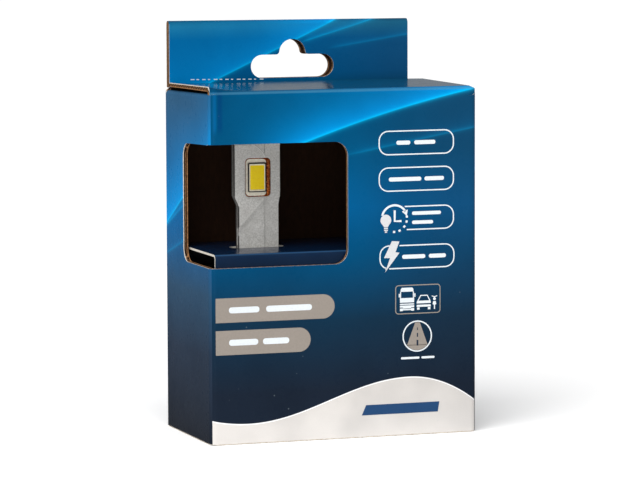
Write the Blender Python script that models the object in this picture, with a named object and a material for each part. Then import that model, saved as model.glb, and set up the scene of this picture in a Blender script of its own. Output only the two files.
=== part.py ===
"""LED headlight bulb standing in its card insert inside its windowed hanging carton.

Metres, +Z up. The origin is the centre of the carton's bottom face, the carton's
front faces -Y, and the bulb stands in the left half of the carton on its own axis.
"""

import math

import bmesh
import bpy
from mathutils import Matrix, Vector

MM = 0.001
GAP = 0.3 * MM                      # clearance kept between pieces that touch

# Carton, folded from one sheet of fine corrugated board
CARTON_W = 80.0 * MM
CARTON_D = 43.0 * MM
CARTON_H = 99.4 * MM
BOARD = 1.4 * MM
FRONT_TOP = CARTON_H - BOARD - GAP  # front wall stops under the top panel's crease
FLAP_AXIS_Z = CARTON_H - BOARD - GAP - BOARD / 2
SIDE_TOP = FLAP_AXIS_Z - BOARD / 2 - GAP
TOP_REAR = CARTON_D / 2 - 3.1 * MM  # rear edge of the torn-open top panel
FLAP_LENGTH = 12.0 * MM            # short, so that the flaps swing clear of the blade
FLAP_FRONT = 2.5 * MM               # front edge of a dust flap starts this far in

# Window, wrapped round the front left edge
WINDOW_RIGHT = 0.9 * MM
WINDOW_REAR = 3.6 * MM
WINDOW_LOW = 49.9 * MM
WINDOW_HIGH = 84.6 * MM
WINDOW_R = 4.0 * MM

# Hang tab, two layers of board with a euro slot
TAB_LEFT = -39.2 * MM
TAB_RIGHT = 34.0 * MM
TAB_TOP = 117.6 * MM
SLOT_X = -1.8 * MM
SLOT_Z = 104.0 * MM
SLOT_W = 25.4 * MM
SLOT_R = 3.4 * MM
HUMP_R = 4.65 * MM

# Card insert, an inverted U of solid card
CARD = 0.6 * MM
INSERT_FRONT = -19.6 * MM
INSERT_REAR = 18.4 * MM            # clear of the hang tab's inner layer
INSERT_HALF_LENGTH = 37.9 * MM
SHELF_TOP = 53.6 * MM
SHELF_HOLE_W = 17.4 * MM
SHELF_HOLE_D = 9.4 * MM
FLOOR_TOP = 2 * BOARD + GAP         # inner bottom flaps lie on the outer panel

# Bulb axis and its levels, from the connector up
BULB_X = -19.5 * MM
BULB_Y = -0.6 * MM
BULB_LOW = FLOOR_TOP + GAP
SHROUD_TOP = BULB_LOW + 12.0 * MM
HOUSING_LOW = SHROUD_TOP + GAP
HOUSING_TOP = HOUSING_LOW + 12.0 * MM
FAN_LOW = HOUSING_TOP + GAP
FAN_TOP = FAN_LOW + 6.4 * MM
SINK_LOW = FAN_TOP + GAP
COLLAR_TOP = 46.4 * MM              # reference plane of the bulb
COLLAR_LOW = COLLAR_TOP - 2.0 * MM
SINK_TOP = COLLAR_LOW - GAP
NECK_TOP = COLLAR_TOP + 3.6 * MM
FOOT_LOW = NECK_TOP + GAP
FOOT_TOP = FOOT_LOW + 1.0 * MM
LIGHT_CENTRE = COLLAR_TOP + 27.1 * MM
BLADE_TOP = LIGHT_CENTRE + 14.5 * MM

# Bulb radii
BODY_R = 17.4 * MM
COLLAR_R = 18.1 * MM
HUB_R = 12.2 * MM
NECK_R = 8.9 * MM
FOOT_R = 8.5 * MM
SHROUD_R = 12.2 * MM
SCREW_CIRCLE = 14.6 * MM
SCREW_ANGLES = (90, 210, 330)
SCREW_HOLE_R = 1.3 * MM
WIRE_CIRCLE = 14.75 * MM
WIRE_R = 0.5 * MM

# Blade: two cast halves round a copper core
BLADE_HALF_T = 1.5 * MM
PART_LINE = 0.15 * MM
HEAD_HALF_W = 6.95 * MM
NECK_LEFT = -5.7 * MM
NECK_RIGHT = 6.5 * MM
CORE_HALF_W = 4.4 * MM
CORE_HALF_T = 0.3 * MM
CORE_LOW = SINK_LOW + 0.5 * MM
POCKET_LEFT = -3.6 * MM
POCKET_RIGHT = 4.1 * MM
POCKET_HALF_H = 5.55 * MM
POCKET_R = 1.2 * MM
FACE_STEP_X = 2.1 * MM
FACE_STEP = 0.3 * MM

ROUND = 40                          # sides of the large turned parts
SMALL_ROUND = 16                    # sides of screws and other small round parts


def clear_scene():
    """Remove every object that the file opens with."""
    for obj in list(bpy.data.objects):
        bpy.data.objects.remove(obj, do_unlink=True)


def material(name, color, roughness, metallic=0.0):
    """A Principled material, made once for each name."""
    found = bpy.data.materials.get(name)
    if found:
        return found
    made = bpy.data.materials.new(name)
    made.use_nodes = True
    shader = made.node_tree.nodes["Principled BSDF"]
    shader.inputs["Base Color"].default_value = (*color, 1.0)
    shader.inputs["Roughness"].default_value = roughness
    shader.inputs["Metallic"].default_value = metallic
    made.diffuse_color = (*color, 1.0)
    return made


def materials():
    """The finishes of the bulb and its pack."""
    return {
        "board": material("printed_board", (0.03, 0.16, 0.29), 0.3),
        "card": material("insert_card", (0.02, 0.04, 0.10), 0.25),
        "cast": material("cast_aluminium", (0.72, 0.72, 0.72), 0.45, 1.0),
        "sink": material("sink_aluminium", (0.45, 0.46, 0.48), 0.4, 1.0),
        "copper": material("bare_copper", (0.75, 0.36, 0.20), 0.35, 1.0),
        "ceramic": material("led_ceramic", (0.86, 0.83, 0.74), 0.5),
        "phosphor": material("phosphor", (0.95, 0.72, 0.05), 0.5),
        "steel": material("screw_steel", (0.55, 0.55, 0.56), 0.3, 1.0),
        "black": material("black_plastic", (0.02, 0.02, 0.022), 0.5),
        "grey": material("collar_metal", (0.62, 0.62, 0.63), 0.4, 1.0),
        "rubber": material("gasket_rubber", (0.04, 0.04, 0.04), 0.8),
        "brass": material("contact_brass", (0.80, 0.62, 0.30), 0.3, 1.0),
        "green": material("driver_laminate", (0.02, 0.16, 0.07), 0.4),
        "ferrite": material("ferrite", (0.10, 0.10, 0.11), 0.7),
        "silver": material("can_aluminium", (0.75, 0.75, 0.76), 0.3, 1.0),
        "wire": material("wire_sleeve", (0.55, 0.04, 0.03), 0.5),
        "magnet": material("magnet", (0.16, 0.15, 0.15), 0.6),
    }


def finish_mesh(name, bm, mat):
    """Turn a bmesh into a smooth-shaded object with faces pointing out."""
    bmesh.ops.recalc_face_normals(bm, faces=bm.faces)
    mesh = bpy.data.meshes.new(name)
    bm.to_mesh(mesh)
    bm.free()
    mesh.shade_smooth()
    mesh.set_sharp_from_angle(angle=math.radians(30))
    if mat:
        mesh.materials.append(mat)
    obj = bpy.data.objects.new(name, mesh)
    bpy.context.scene.collection.objects.link(obj)
    return obj


def prism(name, outline, low, high, mat=None, axis="Z"):
    """Extrude a closed 2-D outline from low to high along an axis.

    The outline is (x, y) for Z, (x, z) for Y and (y, z) for X.
    """
    place = {
        "Z": lambda a, b, t: (a, b, t),
        "Y": lambda a, b, t: (a, t, b),
        "X": lambda a, b, t: (t, a, b),
    }[axis]
    bm = bmesh.new()
    rings = []
    for level in (low, high):
        rings.append([bm.verts.new(place(a, b, level)) for a, b in outline])
    bm.faces.new(rings[0])
    bm.faces.new(rings[1])
    count = len(outline)
    for i in range(count):
        j = (i + 1) % count
        bm.faces.new((rings[0][i], rings[0][j], rings[1][j], rings[1][i]))
    return finish_mesh(name, bm, mat)


def box(name, low, high, mat=None):
    """A box between two corners."""
    outline = [(low[0], low[1]), (high[0], low[1]), (high[0], high[1]), (low[0], high[1])]
    return prism(name, outline, low[2], high[2], mat)


def turned(name, profile, mat=None, centre=(0.0, 0.0), sides=ROUND):
    """Revolve a closed (radius, z) profile about the vertical through centre."""
    bm = bmesh.new()
    rings = []
    for radius, z in profile:
        if radius == 0.0:
            rings.append([bm.verts.new((centre[0], centre[1], z))])
            continue
        ring = []
        for k in range(sides):
            turn = 2 * math.pi * k / sides
            x = centre[0] + radius * math.cos(turn)
            y = centre[1] + radius * math.sin(turn)
            ring.append(bm.verts.new((x, y, z)))
        rings.append(ring)
    for ring, following in zip(rings, rings[1:] + rings[:1]):
        if len(ring) == 1 and len(following) == 1:
            continue
        for k in range(sides):
            n = (k + 1) % sides
            if len(ring) == 1:
                bm.faces.new((ring[0], following[k], following[n]))
            elif len(following) == 1:
                bm.faces.new((ring[k], ring[n], following[0]))
            else:
                bm.faces.new((ring[k], ring[n], following[n], following[k]))
    return finish_mesh(name, bm, mat)


def rod(name, radius, low, high, mat=None, centre=(0.0, 0.0), sides=SMALL_ROUND):
    """A vertical cylinder."""
    profile = [(0.0, low), (radius, low), (radius, high), (0.0, high)]
    return turned(name, profile, mat, centre, sides)


def tube(name, inner, outer, low, high, mat=None, centre=(0.0, 0.0), sides=ROUND):
    """A vertical tube."""
    profile = [(inner, low), (outer, low), (outer, high), (inner, high)]
    return turned(name, profile, mat, centre, sides)


def arc(centre, radius, start, end, steps):
    """Points on an arc, angles in degrees, both ends included."""
    points = []
    for k in range(steps + 1):
        turn = math.radians(start + (end - start) * k / steps)
        points.append((centre[0] + radius * math.cos(turn), centre[1] + radius * math.sin(turn)))
    return points


def rounded_rectangle(low, high, radius, steps=4):
    """Outline of a rectangle with four round corners."""
    corners = (
        (high[0] - radius, high[1] - radius, 0),
        (low[0] + radius, high[1] - radius, 90),
        (low[0] + radius, low[1] + radius, 180),
        (high[0] - radius, low[1] + radius, 270),
    )
    outline = []
    for x, y, start in corners:
        outline += arc((x, y), radius, start, start + 90, steps)
    return outline


def hide_tool(tool):
    """A cutter or filler is a guide, not a piece."""
    tool.hide_render = True
    tool.display_type = "WIRE"
    return tool


def combine(obj, tool, operation):
    """Add a Boolean of the hidden tool to the object."""
    hide_tool(tool)
    step = obj.modifiers.new(tool.name, "BOOLEAN")
    step.operation = operation
    step.solver = "EXACT"
    step.object = tool


def cut(obj, *tools):
    """Subtract each tool."""
    for tool in tools:
        combine(obj, tool, "DIFFERENCE")


def add(obj, *tools):
    """Unite with each tool."""
    for tool in tools:
        combine(obj, tool, "UNION")


def turned_about_z(obj, degrees, centre=(0.0, 0.0)):
    """Turn an object's mesh about a vertical line."""
    pivot = Vector((centre[0], centre[1], 0.0))
    turn = Matrix.Rotation(math.radians(degrees), 4, "Z")
    obj.data.transform(Matrix.Translation(pivot) @ turn @ Matrix.Translation(-pivot))
    return obj


def set_origin(obj, point):
    """Move an object's origin to a point, leaving its shape where it is."""
    offset = Vector(point)
    obj.data.transform(Matrix.Translation(-offset))
    obj.location = offset


def polar(radius, degrees):
    """A place round the bulb's axis."""
    turn = math.radians(degrees)
    return BULB_X + radius * math.cos(turn), BULB_Y + radius * math.sin(turn)


AXIS = (BULB_X, BULB_Y)


# ---------------------------------------------------------------- carton

def make_carton_body(mats):
    """Four walls and the outer bottom panel, with the wrapped window."""
    half_w = CARTON_W / 2
    half_d = CARTON_D / 2
    body = box("carton_body", (-half_w, -half_d, 0), (half_w, half_d, CARTON_H), mats["board"])
    inner_w = half_w - BOARD
    inner_d = half_d - BOARD
    beyond = 5 * MM
    top = CARTON_H + beyond
    cut(body, box("cut_inside", (-inner_w, -inner_d, BOARD), (inner_w, inner_d, top)))
    for side in (-1, 1):
        x_in = side * inner_w
        x_out = side * (half_w + beyond)
        low = (min(x_in, x_out), -half_d - beyond, SIDE_TOP)
        high = (max(x_in, x_out), inner_d, top)
        cut(body, box("cut_side_top", low, high))
    low = (-inner_w - MM, -half_d - beyond, FRONT_TOP)
    cut(body, box("cut_front_top", low, (inner_w + MM, -inner_d + MM, top)))
    front = rounded_rectangle((-half_w - beyond, WINDOW_LOW), (WINDOW_RIGHT, WINDOW_HIGH), WINDOW_R)
    cut(body, prism("cut_window_front", front, -half_d - beyond, -inner_d + MM, axis="Y"))
    side = rounded_rectangle((-half_d - beyond, WINDOW_LOW), (WINDOW_REAR, WINDOW_HIGH), WINDOW_R)
    cut(body, prism("cut_window_side", side, -half_w - beyond, -inner_w + MM, axis="X"))


def make_bottom_flaps(mats):
    """Two inner flaps glued to the bottom panel from inside."""
    inner_w = CARTON_W / 2 - BOARD - GAP
    inner_d = CARTON_D / 2 - BOARD - GAP
    low_z = BOARD + GAP
    for name, side in (("bottom_flap_left", -1), ("bottom_flap_right", 1)):
        ends = sorted((side * inner_w, side * GAP))
        box(name, (ends[0], -inner_d, low_z), (ends[1], inner_d, low_z + BOARD), mats["board"])


def make_top_panel(mats):
    """Top panel, hinged at the front crease, with a round barrel edge there."""
    axis_y = -CARTON_D / 2 + BOARD / 2
    axis_z = CARTON_H - BOARD / 2
    outline = [(TOP_REAR, axis_z - BOARD / 2), (TOP_REAR, axis_z + BOARD / 2)]
    outline += arc((axis_y, axis_z), BOARD / 2, 90, 270, 6)
    half = CARTON_W / 2 - 0.6 * MM
    panel = prism("top_panel", outline, -half, half, mats["board"], axis="X")
    set_origin(panel, (0, axis_y, axis_z))


def make_dust_flaps(mats):
    """Tapered flaps folded in under the top panel, hinged on the side walls."""
    rear = TOP_REAR - 0.1 * MM
    for name, side in (("dust_flap_left", -1), ("dust_flap_right", 1)):
        hinge_x = side * (CARTON_W / 2 - BOARD / 2)
        tip_x = hinge_x - side * FLAP_LENGTH
        front = -CARTON_D / 2 + BOARD / 2 + FLAP_FRONT
        barrel = arc((hinge_x, FLAP_AXIS_Z), BOARD / 2, 90, 90 - side * 180, 6)
        outline = [(tip_x, FLAP_AXIS_Z + BOARD / 2)] + barrel + [(tip_x, FLAP_AXIS_Z - BOARD / 2)]
        flap = prism(name, outline, front, rear, mats["board"], axis="Y")
        taper = [(hinge_x, front), (tip_x - side * MM, front + FLAP_LENGTH + MM)]
        taper += [(tip_x - side * MM, front - MM), (hinge_x, front - MM)]
        low = FLAP_AXIS_Z - BOARD
        cutter = prism("cut_taper", taper, low, low + 2 * BOARD)
        cut(flap, cutter)
        set_origin(flap, (hinge_x, 0, FLAP_AXIS_Z))


def make_hang_tab(mats):
    """Double board tab with a euro slot, hinged on the rear wall's top edge."""
    rear = CARTON_D / 2
    low = CARTON_H + 0.45 * MM
    front = rear - 2 * BOARD
    tab = box("hang_tab", (TAB_LEFT, front, low), (TAB_RIGHT, rear, TAB_TOP), mats["board"])
    lip_low = CARTON_H - 0.8 * MM
    lip_rear = rear - BOARD - GAP
    add(tab, box("add_lip", (TAB_LEFT, front, lip_low), (TAB_RIGHT, lip_rear, low + MM)))
    reach = SLOT_W / 2 - SLOT_R
    slot = arc((SLOT_X + reach, SLOT_Z), SLOT_R, -90, 90, 8)
    slot += arc((SLOT_X, SLOT_Z + SLOT_R), HUMP_R, 0, 180, 10)
    slot += arc((SLOT_X - reach, SLOT_Z), SLOT_R, 90, 270, 8)
    cut(tab, prism("cut_slot", slot, front - MM, rear + MM, axis="Y"))
    set_origin(tab, (0, rear, CARTON_H + 0.15 * MM))


def make_card_insert(mats):
    """Inverted U of card: a shelf with the bulb's hole and two long legs."""
    low = BULB_LOW
    outline = [
        (INSERT_FRONT, low), (INSERT_FRONT + CARD, low),
        (INSERT_FRONT + CARD, SHELF_TOP - CARD), (INSERT_REAR - CARD, SHELF_TOP - CARD),
        (INSERT_REAR - CARD, low), (INSERT_REAR, low),
        (INSERT_REAR, SHELF_TOP), (INSERT_FRONT, SHELF_TOP),
    ]
    half = INSERT_HALF_LENGTH
    insert = prism("card_insert", outline, -half, half, mats["card"], axis="X")
    low_corner = (BULB_X - SHELF_HOLE_W / 2, BULB_Y - SHELF_HOLE_D / 2)
    high_corner = (BULB_X + SHELF_HOLE_W / 2, BULB_Y + SHELF_HOLE_D / 2)
    hole = rounded_rectangle(low_corner, high_corner, SHELF_HOLE_D / 2 - 0.01 * MM, 6)
    cut(insert, prism("cut_shelf_hole", hole, SHELF_TOP - MM, SHELF_TOP + MM))


# ---------------------------------------------------------------- blade

def blade_outline():
    """Front outline of a blade half: neck, shoulders and head with cut corners."""
    shoulder_low = LIGHT_CENTRE - 8.0 * MM
    shoulder_high = LIGHT_CENTRE - 5.2 * MM
    corner = 1.5 * MM
    points = [
        (NECK_LEFT, FOOT_LOW), (NECK_RIGHT, FOOT_LOW), (NECK_RIGHT, shoulder_low),
        (HEAD_HALF_W, shoulder_high), (HEAD_HALF_W, BLADE_TOP - corner),
        (HEAD_HALF_W - corner, BLADE_TOP), (corner - HEAD_HALF_W, BLADE_TOP),
        (-HEAD_HALF_W, BLADE_TOP - corner), (-HEAD_HALF_W, shoulder_high),
        (NECK_LEFT, shoulder_low),
    ]
    return [(BULB_X + x, z) for x, z in points]


def make_blade_half(name, side, mats):
    """One cast half; side is -1 for the front half and +1 for the rear half."""
    def span(inner, outer):
        return sorted((BULB_Y + side * inner, BULB_Y + side * outer))

    half = prism(name, blade_outline(), *span(PART_LINE, BLADE_HALF_T), mats["cast"], axis="Y")
    start = 0 if side > 0 else 180
    edge = BULB_Y + side * PART_LINE
    foot = [(x, edge + y - BULB_Y) for x, y in arc(AXIS, FOOT_R, start, start + 180, 20)]
    add(half, prism("add_foot", foot, FOOT_LOW, FOOT_TOP))
    seat = CORE_HALF_W + GAP
    seat_deep = span(-MM, CORE_HALF_T + 0.2 * MM)
    low = (BULB_X - seat, seat_deep[0], FOOT_LOW - MM)
    cut(half, box("cut_core_seat", low, (BULB_X + seat, seat_deep[1], BLADE_TOP - 1.3 * MM)))
    low = (BULB_X + POCKET_LEFT, LIGHT_CENTRE - POCKET_HALF_H)
    high = (BULB_X + POCKET_RIGHT, LIGHT_CENTRE + POCKET_HALF_H)
    pocket = rounded_rectangle(low, high, POCKET_R)
    cut(half, prism("cut_pocket", pocket, *span(0, BLADE_HALF_T + MM), axis="Y"))
    step = span(BLADE_HALF_T - FACE_STEP, BLADE_HALF_T + MM)
    low = (BULB_X + FACE_STEP_X, step[0], FOOT_TOP + 0.5 * MM)
    cut(half, box("cut_face_step", low, (BULB_X + 10 * MM, step[1], BLADE_TOP + MM)))
    centre = (BULB_X, BULB_Y + side * 5.4 * MM)
    cut(half, rod("cut_foot_hole", 1.1 * MM, FOOT_LOW - MM, FOOT_TOP + MM, centre=centre))


def make_led(suffix, side, mats):
    """Board, frame and phosphor of one light, lying in the blade's pocket."""
    def slab(name, left, right, half_h, near, far, mat):
        ends = sorted((BULB_Y + side * near, BULB_Y + side * far))
        low = (BULB_X + left, ends[0], LIGHT_CENTRE - half_h)
        return box(name, low, (BULB_X + right, ends[1], LIGHT_CENTRE + half_h), mat)

    slab("led_board_" + suffix, -3.3 * MM, 2.8 * MM, 5.25 * MM, 0.5 * MM, 0.8 * MM, mats["ceramic"])
    near = 1.0 * MM
    far = 1.3 * MM
    frame = slab("led_frame_" + suffix, -2.7 * MM, 2.7 * MM, 4.2 * MM, near, far, mats["ceramic"])
    cut(frame, slab("cut_frame", -2.3 * MM, 2.3 * MM, 3.5 * MM, near - MM, far + MM, None))
    far = 1.25 * MM
    slab("led_phosphor_" + suffix, -2.05 * MM, 2.05 * MM, 3.25 * MM, near, far, mats["phosphor"])


def make_copper_core(mats):
    """Copper strip that carries the lights and their heat down into the heat sink."""
    low = (BULB_X - CORE_HALF_W, BULB_Y - CORE_HALF_T, CORE_LOW)
    high = (BULB_X + CORE_HALF_W, BULB_Y + CORE_HALF_T, BLADE_TOP - 1.7 * MM)
    box("copper_core", low, high, mats["copper"])


def screw(name, centre, head_r, head_low, head_high, shank_r, tip, mat):
    """A vertical screw whose head lies between two levels, with a socket in it."""
    up = 1 if tip < head_low else -1
    outer = head_high if up > 0 else head_low
    under = head_low if up > 0 else head_high
    socket = outer - up * 0.5 * (head_high - head_low)
    profile = [
        (0.0, tip), (shank_r, tip), (shank_r, under), (head_r, under),
        (head_r, outer), (head_r * 0.5, outer), (head_r * 0.5, socket), (0.0, socket),
    ]
    return turned(name, profile, mat, centre, SMALL_ROUND)


def make_blade_screws(mats):
    """Two screws through the feet of the blade halves into the heat sink's neck."""
    for name, side in (("blade_screw_front", -1), ("blade_screw_rear", 1)):
        centre = (BULB_X, BULB_Y + side * 5.4 * MM)
        head = FOOT_TOP + 0.2 * MM
        screw(name, centre, 1.6 * MM, head, head + 0.9 * MM, 0.8 * MM, NECK_TOP - 3 * MM, mats["steel"])


# ---------------------------------------------------------------- collar and heat sink

def make_collar(mats):
    """Locating collar that turns on the heat sink's neck, with its grub screw and gasket."""
    bore = NECK_R + GAP
    profile = [
        (bore, COLLAR_LOW), (COLLAR_R, COLLAR_LOW), (COLLAR_R, COLLAR_TOP),
        (HUB_R, COLLAR_TOP), (HUB_R, NECK_TOP), (bore, NECK_TOP),
    ]
    collar = turned("mounting_collar", profile, mats["grey"], AXIS, 48)
    for angle, width in ((90, 4.0), (215, 3.0), (325, 3.0)):
        half = width * MM / 2
        low = (BULB_X + COLLAR_R - 1.6 * MM, BULB_Y - half, COLLAR_LOW - MM)
        notch = box("cut_notch", low, (BULB_X + COLLAR_R + MM, BULB_Y + half, COLLAR_TOP + MM))
        cut(collar, turned_about_z(notch, angle, AXIS))
    level = COLLAR_TOP + 2.1 * MM
    tool = cross_rod("cut_grub", 1.1 * MM, 8.0 * MM, 14.0 * MM, level, 45)
    cut(collar, tool)
    cross_rod("collar_grub_screw", 0.8 * MM, bore + 0.1 * MM, HUB_R - 0.2 * MM, level, 45, mats["steel"])
    low = COLLAR_TOP + GAP
    tube("collar_gasket", 13.0 * MM, 16.0 * MM, low, low + MM, mats["rubber"], AXIS)


def cross_rod(name, radius, start, end, level, degrees, mat=None):
    """A cylinder that points out from the bulb's axis at a level."""
    outline = arc((BULB_Y, level), radius, 0, 360, SMALL_ROUND)[:-1]
    bar = prism(name, outline, BULB_X + start, BULB_X + end, mat, axis="X")
    return turned_about_z(bar, degrees, AXIS)


def make_heat_sink(mats):
    """Radial fins under a round plate, with a neck that carries the blade."""
    core_r = 7.0 * MM
    fins = 24
    half_angle = 1.9
    low = SINK_LOW + 1.9 * MM
    plate_low = SINK_TOP - 2.0 * MM
    outline = []
    for k in range(fins):
        turn = 360 * k / fins
        root = half_angle * 2.2
        outline.append(polar(core_r, turn - root))
        outline.append(polar(BODY_R - 0.3 * MM, turn - half_angle))
        outline.append(polar(BODY_R - 0.3 * MM, turn + half_angle))
        outline.append(polar(core_r, turn + root))
    sink = prism("heat_sink", outline, low, plate_low + 0.5 * MM, mats["sink"])
    profile = [
        (0.0, plate_low), (BODY_R, plate_low), (BODY_R, SINK_TOP), (NECK_R, SINK_TOP),
        (NECK_R, NECK_TOP), (0.0, NECK_TOP),
    ]
    add(sink, turned("add_plate", profile, None, AXIS))
    slot = CORE_HALF_W + GAP
    deep = CORE_HALF_T + GAP
    for angle in SCREW_ANGLES:
        centre = polar(SCREW_CIRCLE, angle)
        add(sink, rod("add_boss", 2.4 * MM, SINK_LOW, plate_low + MM, centre=centre))
    for angle in SCREW_ANGLES:
        centre = polar(SCREW_CIRCLE, angle)
        cut(sink, rod("cut_boss", SCREW_HOLE_R, SINK_LOW - MM, plate_low - 0.5 * MM, centre=centre))
    low_corner = (BULB_X - slot, BULB_Y - deep, low - MM)
    cut(sink, box("cut_core_slot", low_corner, (BULB_X + slot, BULB_Y + deep, NECK_TOP + MM)))
    for side in (-1, 1):
        centre = (BULB_X, BULB_Y + side * 5.4 * MM)
        cut(sink, rod("cut_neck_hole", 1.1 * MM, NECK_TOP - 4 * MM, NECK_TOP + MM, centre=centre))


# ---------------------------------------------------------------- fan

def make_fan(mats):
    """Frame, bearing, stator, shaft, magnet ring and rotor of the cooling fan."""
    duct_r = 12.0 * MM
    hub_r = 4.2 * MM
    spoke_top = FAN_LOW + 1.2 * MM
    frame = tube("fan_frame", duct_r, BODY_R, FAN_LOW, FAN_TOP, mats["black"], AXIS)
    add(frame, rod("add_fan_hub", hub_r, FAN_LOW, spoke_top, centre=AXIS, sides=ROUND))
    for angle in (30, 150, 270):
        low = (BULB_X + 3 * MM, BULB_Y - MM, FAN_LOW)
        spoke = box("add_spoke", low, (BULB_X + duct_r + MM, BULB_Y + MM, spoke_top))
        add(frame, turned_about_z(spoke, angle, AXIS))
    for angle in SCREW_ANGLES:
        centre = polar(SCREW_CIRCLE, angle)
        cut(frame, rod("cut_fan_screw", SCREW_HOLE_R, FAN_LOW - MM, FAN_TOP + MM, centre=centre))
    for angle in (0, 180):
        centre = polar(WIRE_CIRCLE, angle)
        cut(frame, rod("cut_fan_wire", 0.9 * MM, FAN_LOW - MM, FAN_TOP + MM, centre=centre))

    low = spoke_top + GAP
    tube("fan_bearing", 0.9 * MM, 1.7 * MM, low, low + 3.0 * MM, mats["brass"], AXIS, SMALL_ROUND)
    make_stator(low, mats)
    rod("fan_shaft", 0.6 * MM, low + 0.1 * MM, low + 3.0 * MM, mats["steel"], AXIS)
    tube("fan_magnet", 4.4 * MM, 5.0 * MM, low + GAP, low + 2.9 * MM, mats["magnet"], AXIS)
    cup_low = low + GAP
    roof_low = low + 3.3 * MM
    roof_top = roof_low + 0.8 * MM
    profile = [
        (5.3 * MM, cup_low), (6.1 * MM, cup_low), (6.1 * MM, roof_top),
        (0.0, roof_top), (0.0, roof_low), (5.3 * MM, roof_low),
    ]
    rotor = turned("fan_rotor", profile, mats["black"], AXIS)
    blades = 7
    for k in range(blades):
        add(rotor, fan_blade(360 * k / blades, cup_low + 0.2 * MM, roof_top - 0.3 * MM))
    set_origin(rotor, (BULB_X, BULB_Y, cup_low))


def fan_blade(degrees, low, high):
    """A pitched blade that reaches from the rotor's cup almost to the duct."""
    sweep = 1.8 * MM
    thick = 0.5 * MM
    outline = [
        (BULB_Y - sweep - thick, low), (BULB_Y - sweep + thick, low),
        (BULB_Y + sweep + thick, high), (BULB_Y + sweep - thick, high),
    ]
    blade = prism("add_fan_blade", outline, BULB_X + 5.6 * MM, BULB_X + 11.2 * MM, axis="X")
    return turned_about_z(blade, degrees, AXIS)


def make_stator(low, mats):
    """Four-pole wound core round the bearing."""
    poles = 4
    outline = []
    for k in range(poles):
        turn = 360 * k / poles
        outline.append(polar(2.6 * MM, turn - 28))
        outline.append(polar(4.0 * MM, turn - 32))
        outline.append(polar(4.05 * MM, turn))
        outline.append(polar(4.0 * MM, turn + 32))
        outline.append(polar(2.6 * MM, turn + 28))
    stator = prism("fan_stator", outline, low + 0.2 * MM, low + 2.7 * MM, mats["copper"])
    cut(stator, rod("cut_stator", 2.0 * MM, low - MM, low + 4 * MM, centre=AXIS))


# ---------------------------------------------------------------- driver and connector

def make_housing(mats):
    """Vented cup that holds the driver board under the fan."""
    floor_top = HOUSING_LOW + 1.5 * MM
    wall = BODY_R - 1.5 * MM
    profile = [
        (2.5 * MM, HOUSING_LOW), (BODY_R, HOUSING_LOW), (BODY_R, HOUSING_TOP),
        (wall, HOUSING_TOP), (wall, floor_top), (2.5 * MM, floor_top),
    ]
    housing = turned("base_housing", profile, mats["black"], AXIS)
    low = floor_top - 0.5 * MM
    for angle in SCREW_ANGLES:
        centre = polar(SCREW_CIRCLE, angle)
        add(housing, rod("add_post", 2.2 * MM, low, HOUSING_TOP - GAP, centre=centre))
    for angle in (30, 150, 270):
        centre = polar(9.5 * MM, angle)
        add(housing, rod("add_rest", 1.4 * MM, low, floor_top + 2.5 * MM, centre=centre))
    for angle in SCREW_ANGLES:
        centre = polar(SCREW_CIRCLE, angle)
        low = HOUSING_LOW - MM
        cut(housing, rod("cut_post", SCREW_HOLE_R, low, HOUSING_TOP + MM, centre=centre))
    for angle in (0, 180):
        centre = polar(9.0 * MM, angle)
        cut(housing, rod("cut_floor", 1.05 * MM, HOUSING_LOW - MM, floor_top + MM, centre=centre))
    vents = 12
    for k in range(vents):
        low = (BULB_X + wall - 0.4 * MM, BULB_Y - 1.3 * MM, HOUSING_LOW + 6.3 * MM)
        high = (BULB_X + BODY_R + MM, BULB_Y + 1.3 * MM, HOUSING_LOW + 10.6 * MM)
        cut(housing, turned_about_z(box("cut_vent", low, high), 15 + 360 * k / vents, AXIS))


def make_driver(mats):
    """Driver board with its coil, capacitor and two power packages."""
    board_low = HOUSING_LOW + 4.3 * MM
    board_top = board_low + 1.2 * MM
    rod("driver_board", 12.0 * MM, board_low, board_top, mats["green"], AXIS, ROUND)
    low = board_top + GAP
    centre = (BULB_X, BULB_Y + 5.8 * MM)
    profile = [
        (0.0, low), (3.4 * MM, low), (3.4 * MM, low + 0.8 * MM), (2.4 * MM, low + 1.2 * MM),
        (2.4 * MM, low + 2.6 * MM), (3.4 * MM, low + 3.0 * MM), (3.4 * MM, low + 3.8 * MM),
        (0.0, low + 3.8 * MM),
    ]
    turned("driver_inductor", profile, mats["ferrite"], centre, 24)
    centre = (BULB_X + 4.6 * MM, BULB_Y - 4.8 * MM)
    rod("driver_capacitor", 2.3 * MM, low, low + 4.6 * MM, mats["silver"], centre, 24)
    chips = (("driver_transistor", -7.6, -6.8, 5.0, 4.2, 1.3), ("driver_rectifier", -8.2, 2.2, 4.4, 3.8, 1.6))
    for name, x, y, wide, deep, tall in chips:
        corner = (BULB_X + x * MM, BULB_Y + y * MM, low)
        far = (corner[0] + wide * MM, corner[1] + deep * MM, low + tall * MM)
        box(name, corner, far, mats["black"])


def make_led_wires(mats):
    """Leads from the driver board up past the fan to the foot of the copper core."""
    start_z = HOUSING_LOW + 4.3 * MM + 1.2 * MM + 0.4 * MM
    turn_z = SINK_LOW + 0.9 * MM
    for name, side in (("led_wire_positive", 1), ("led_wire_negative", -1)):
        route = [
            (9.6 * MM, start_z), (9.6 * MM, start_z + 1.2 * MM), (10.4 * MM, start_z + 2.6 * MM),
            (12.6 * MM, start_z + 3.8 * MM), (14.2 * MM, start_z + 4.6 * MM),
            (WIRE_CIRCLE, FAN_LOW - 0.6 * MM), (WIRE_CIRCLE, FAN_TOP - 0.6 * MM),
            (WIRE_CIRCLE - 0.3 * MM, turn_z - 0.3 * MM), (WIRE_CIRCLE - 1.1 * MM, turn_z),
            (CORE_HALF_W + 0.4 * MM, turn_z),
        ]
        points = [(BULB_X + side * r, BULB_Y, z) for r, z in route]
        wire_tube(name, points, mats["wire"])


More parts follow.
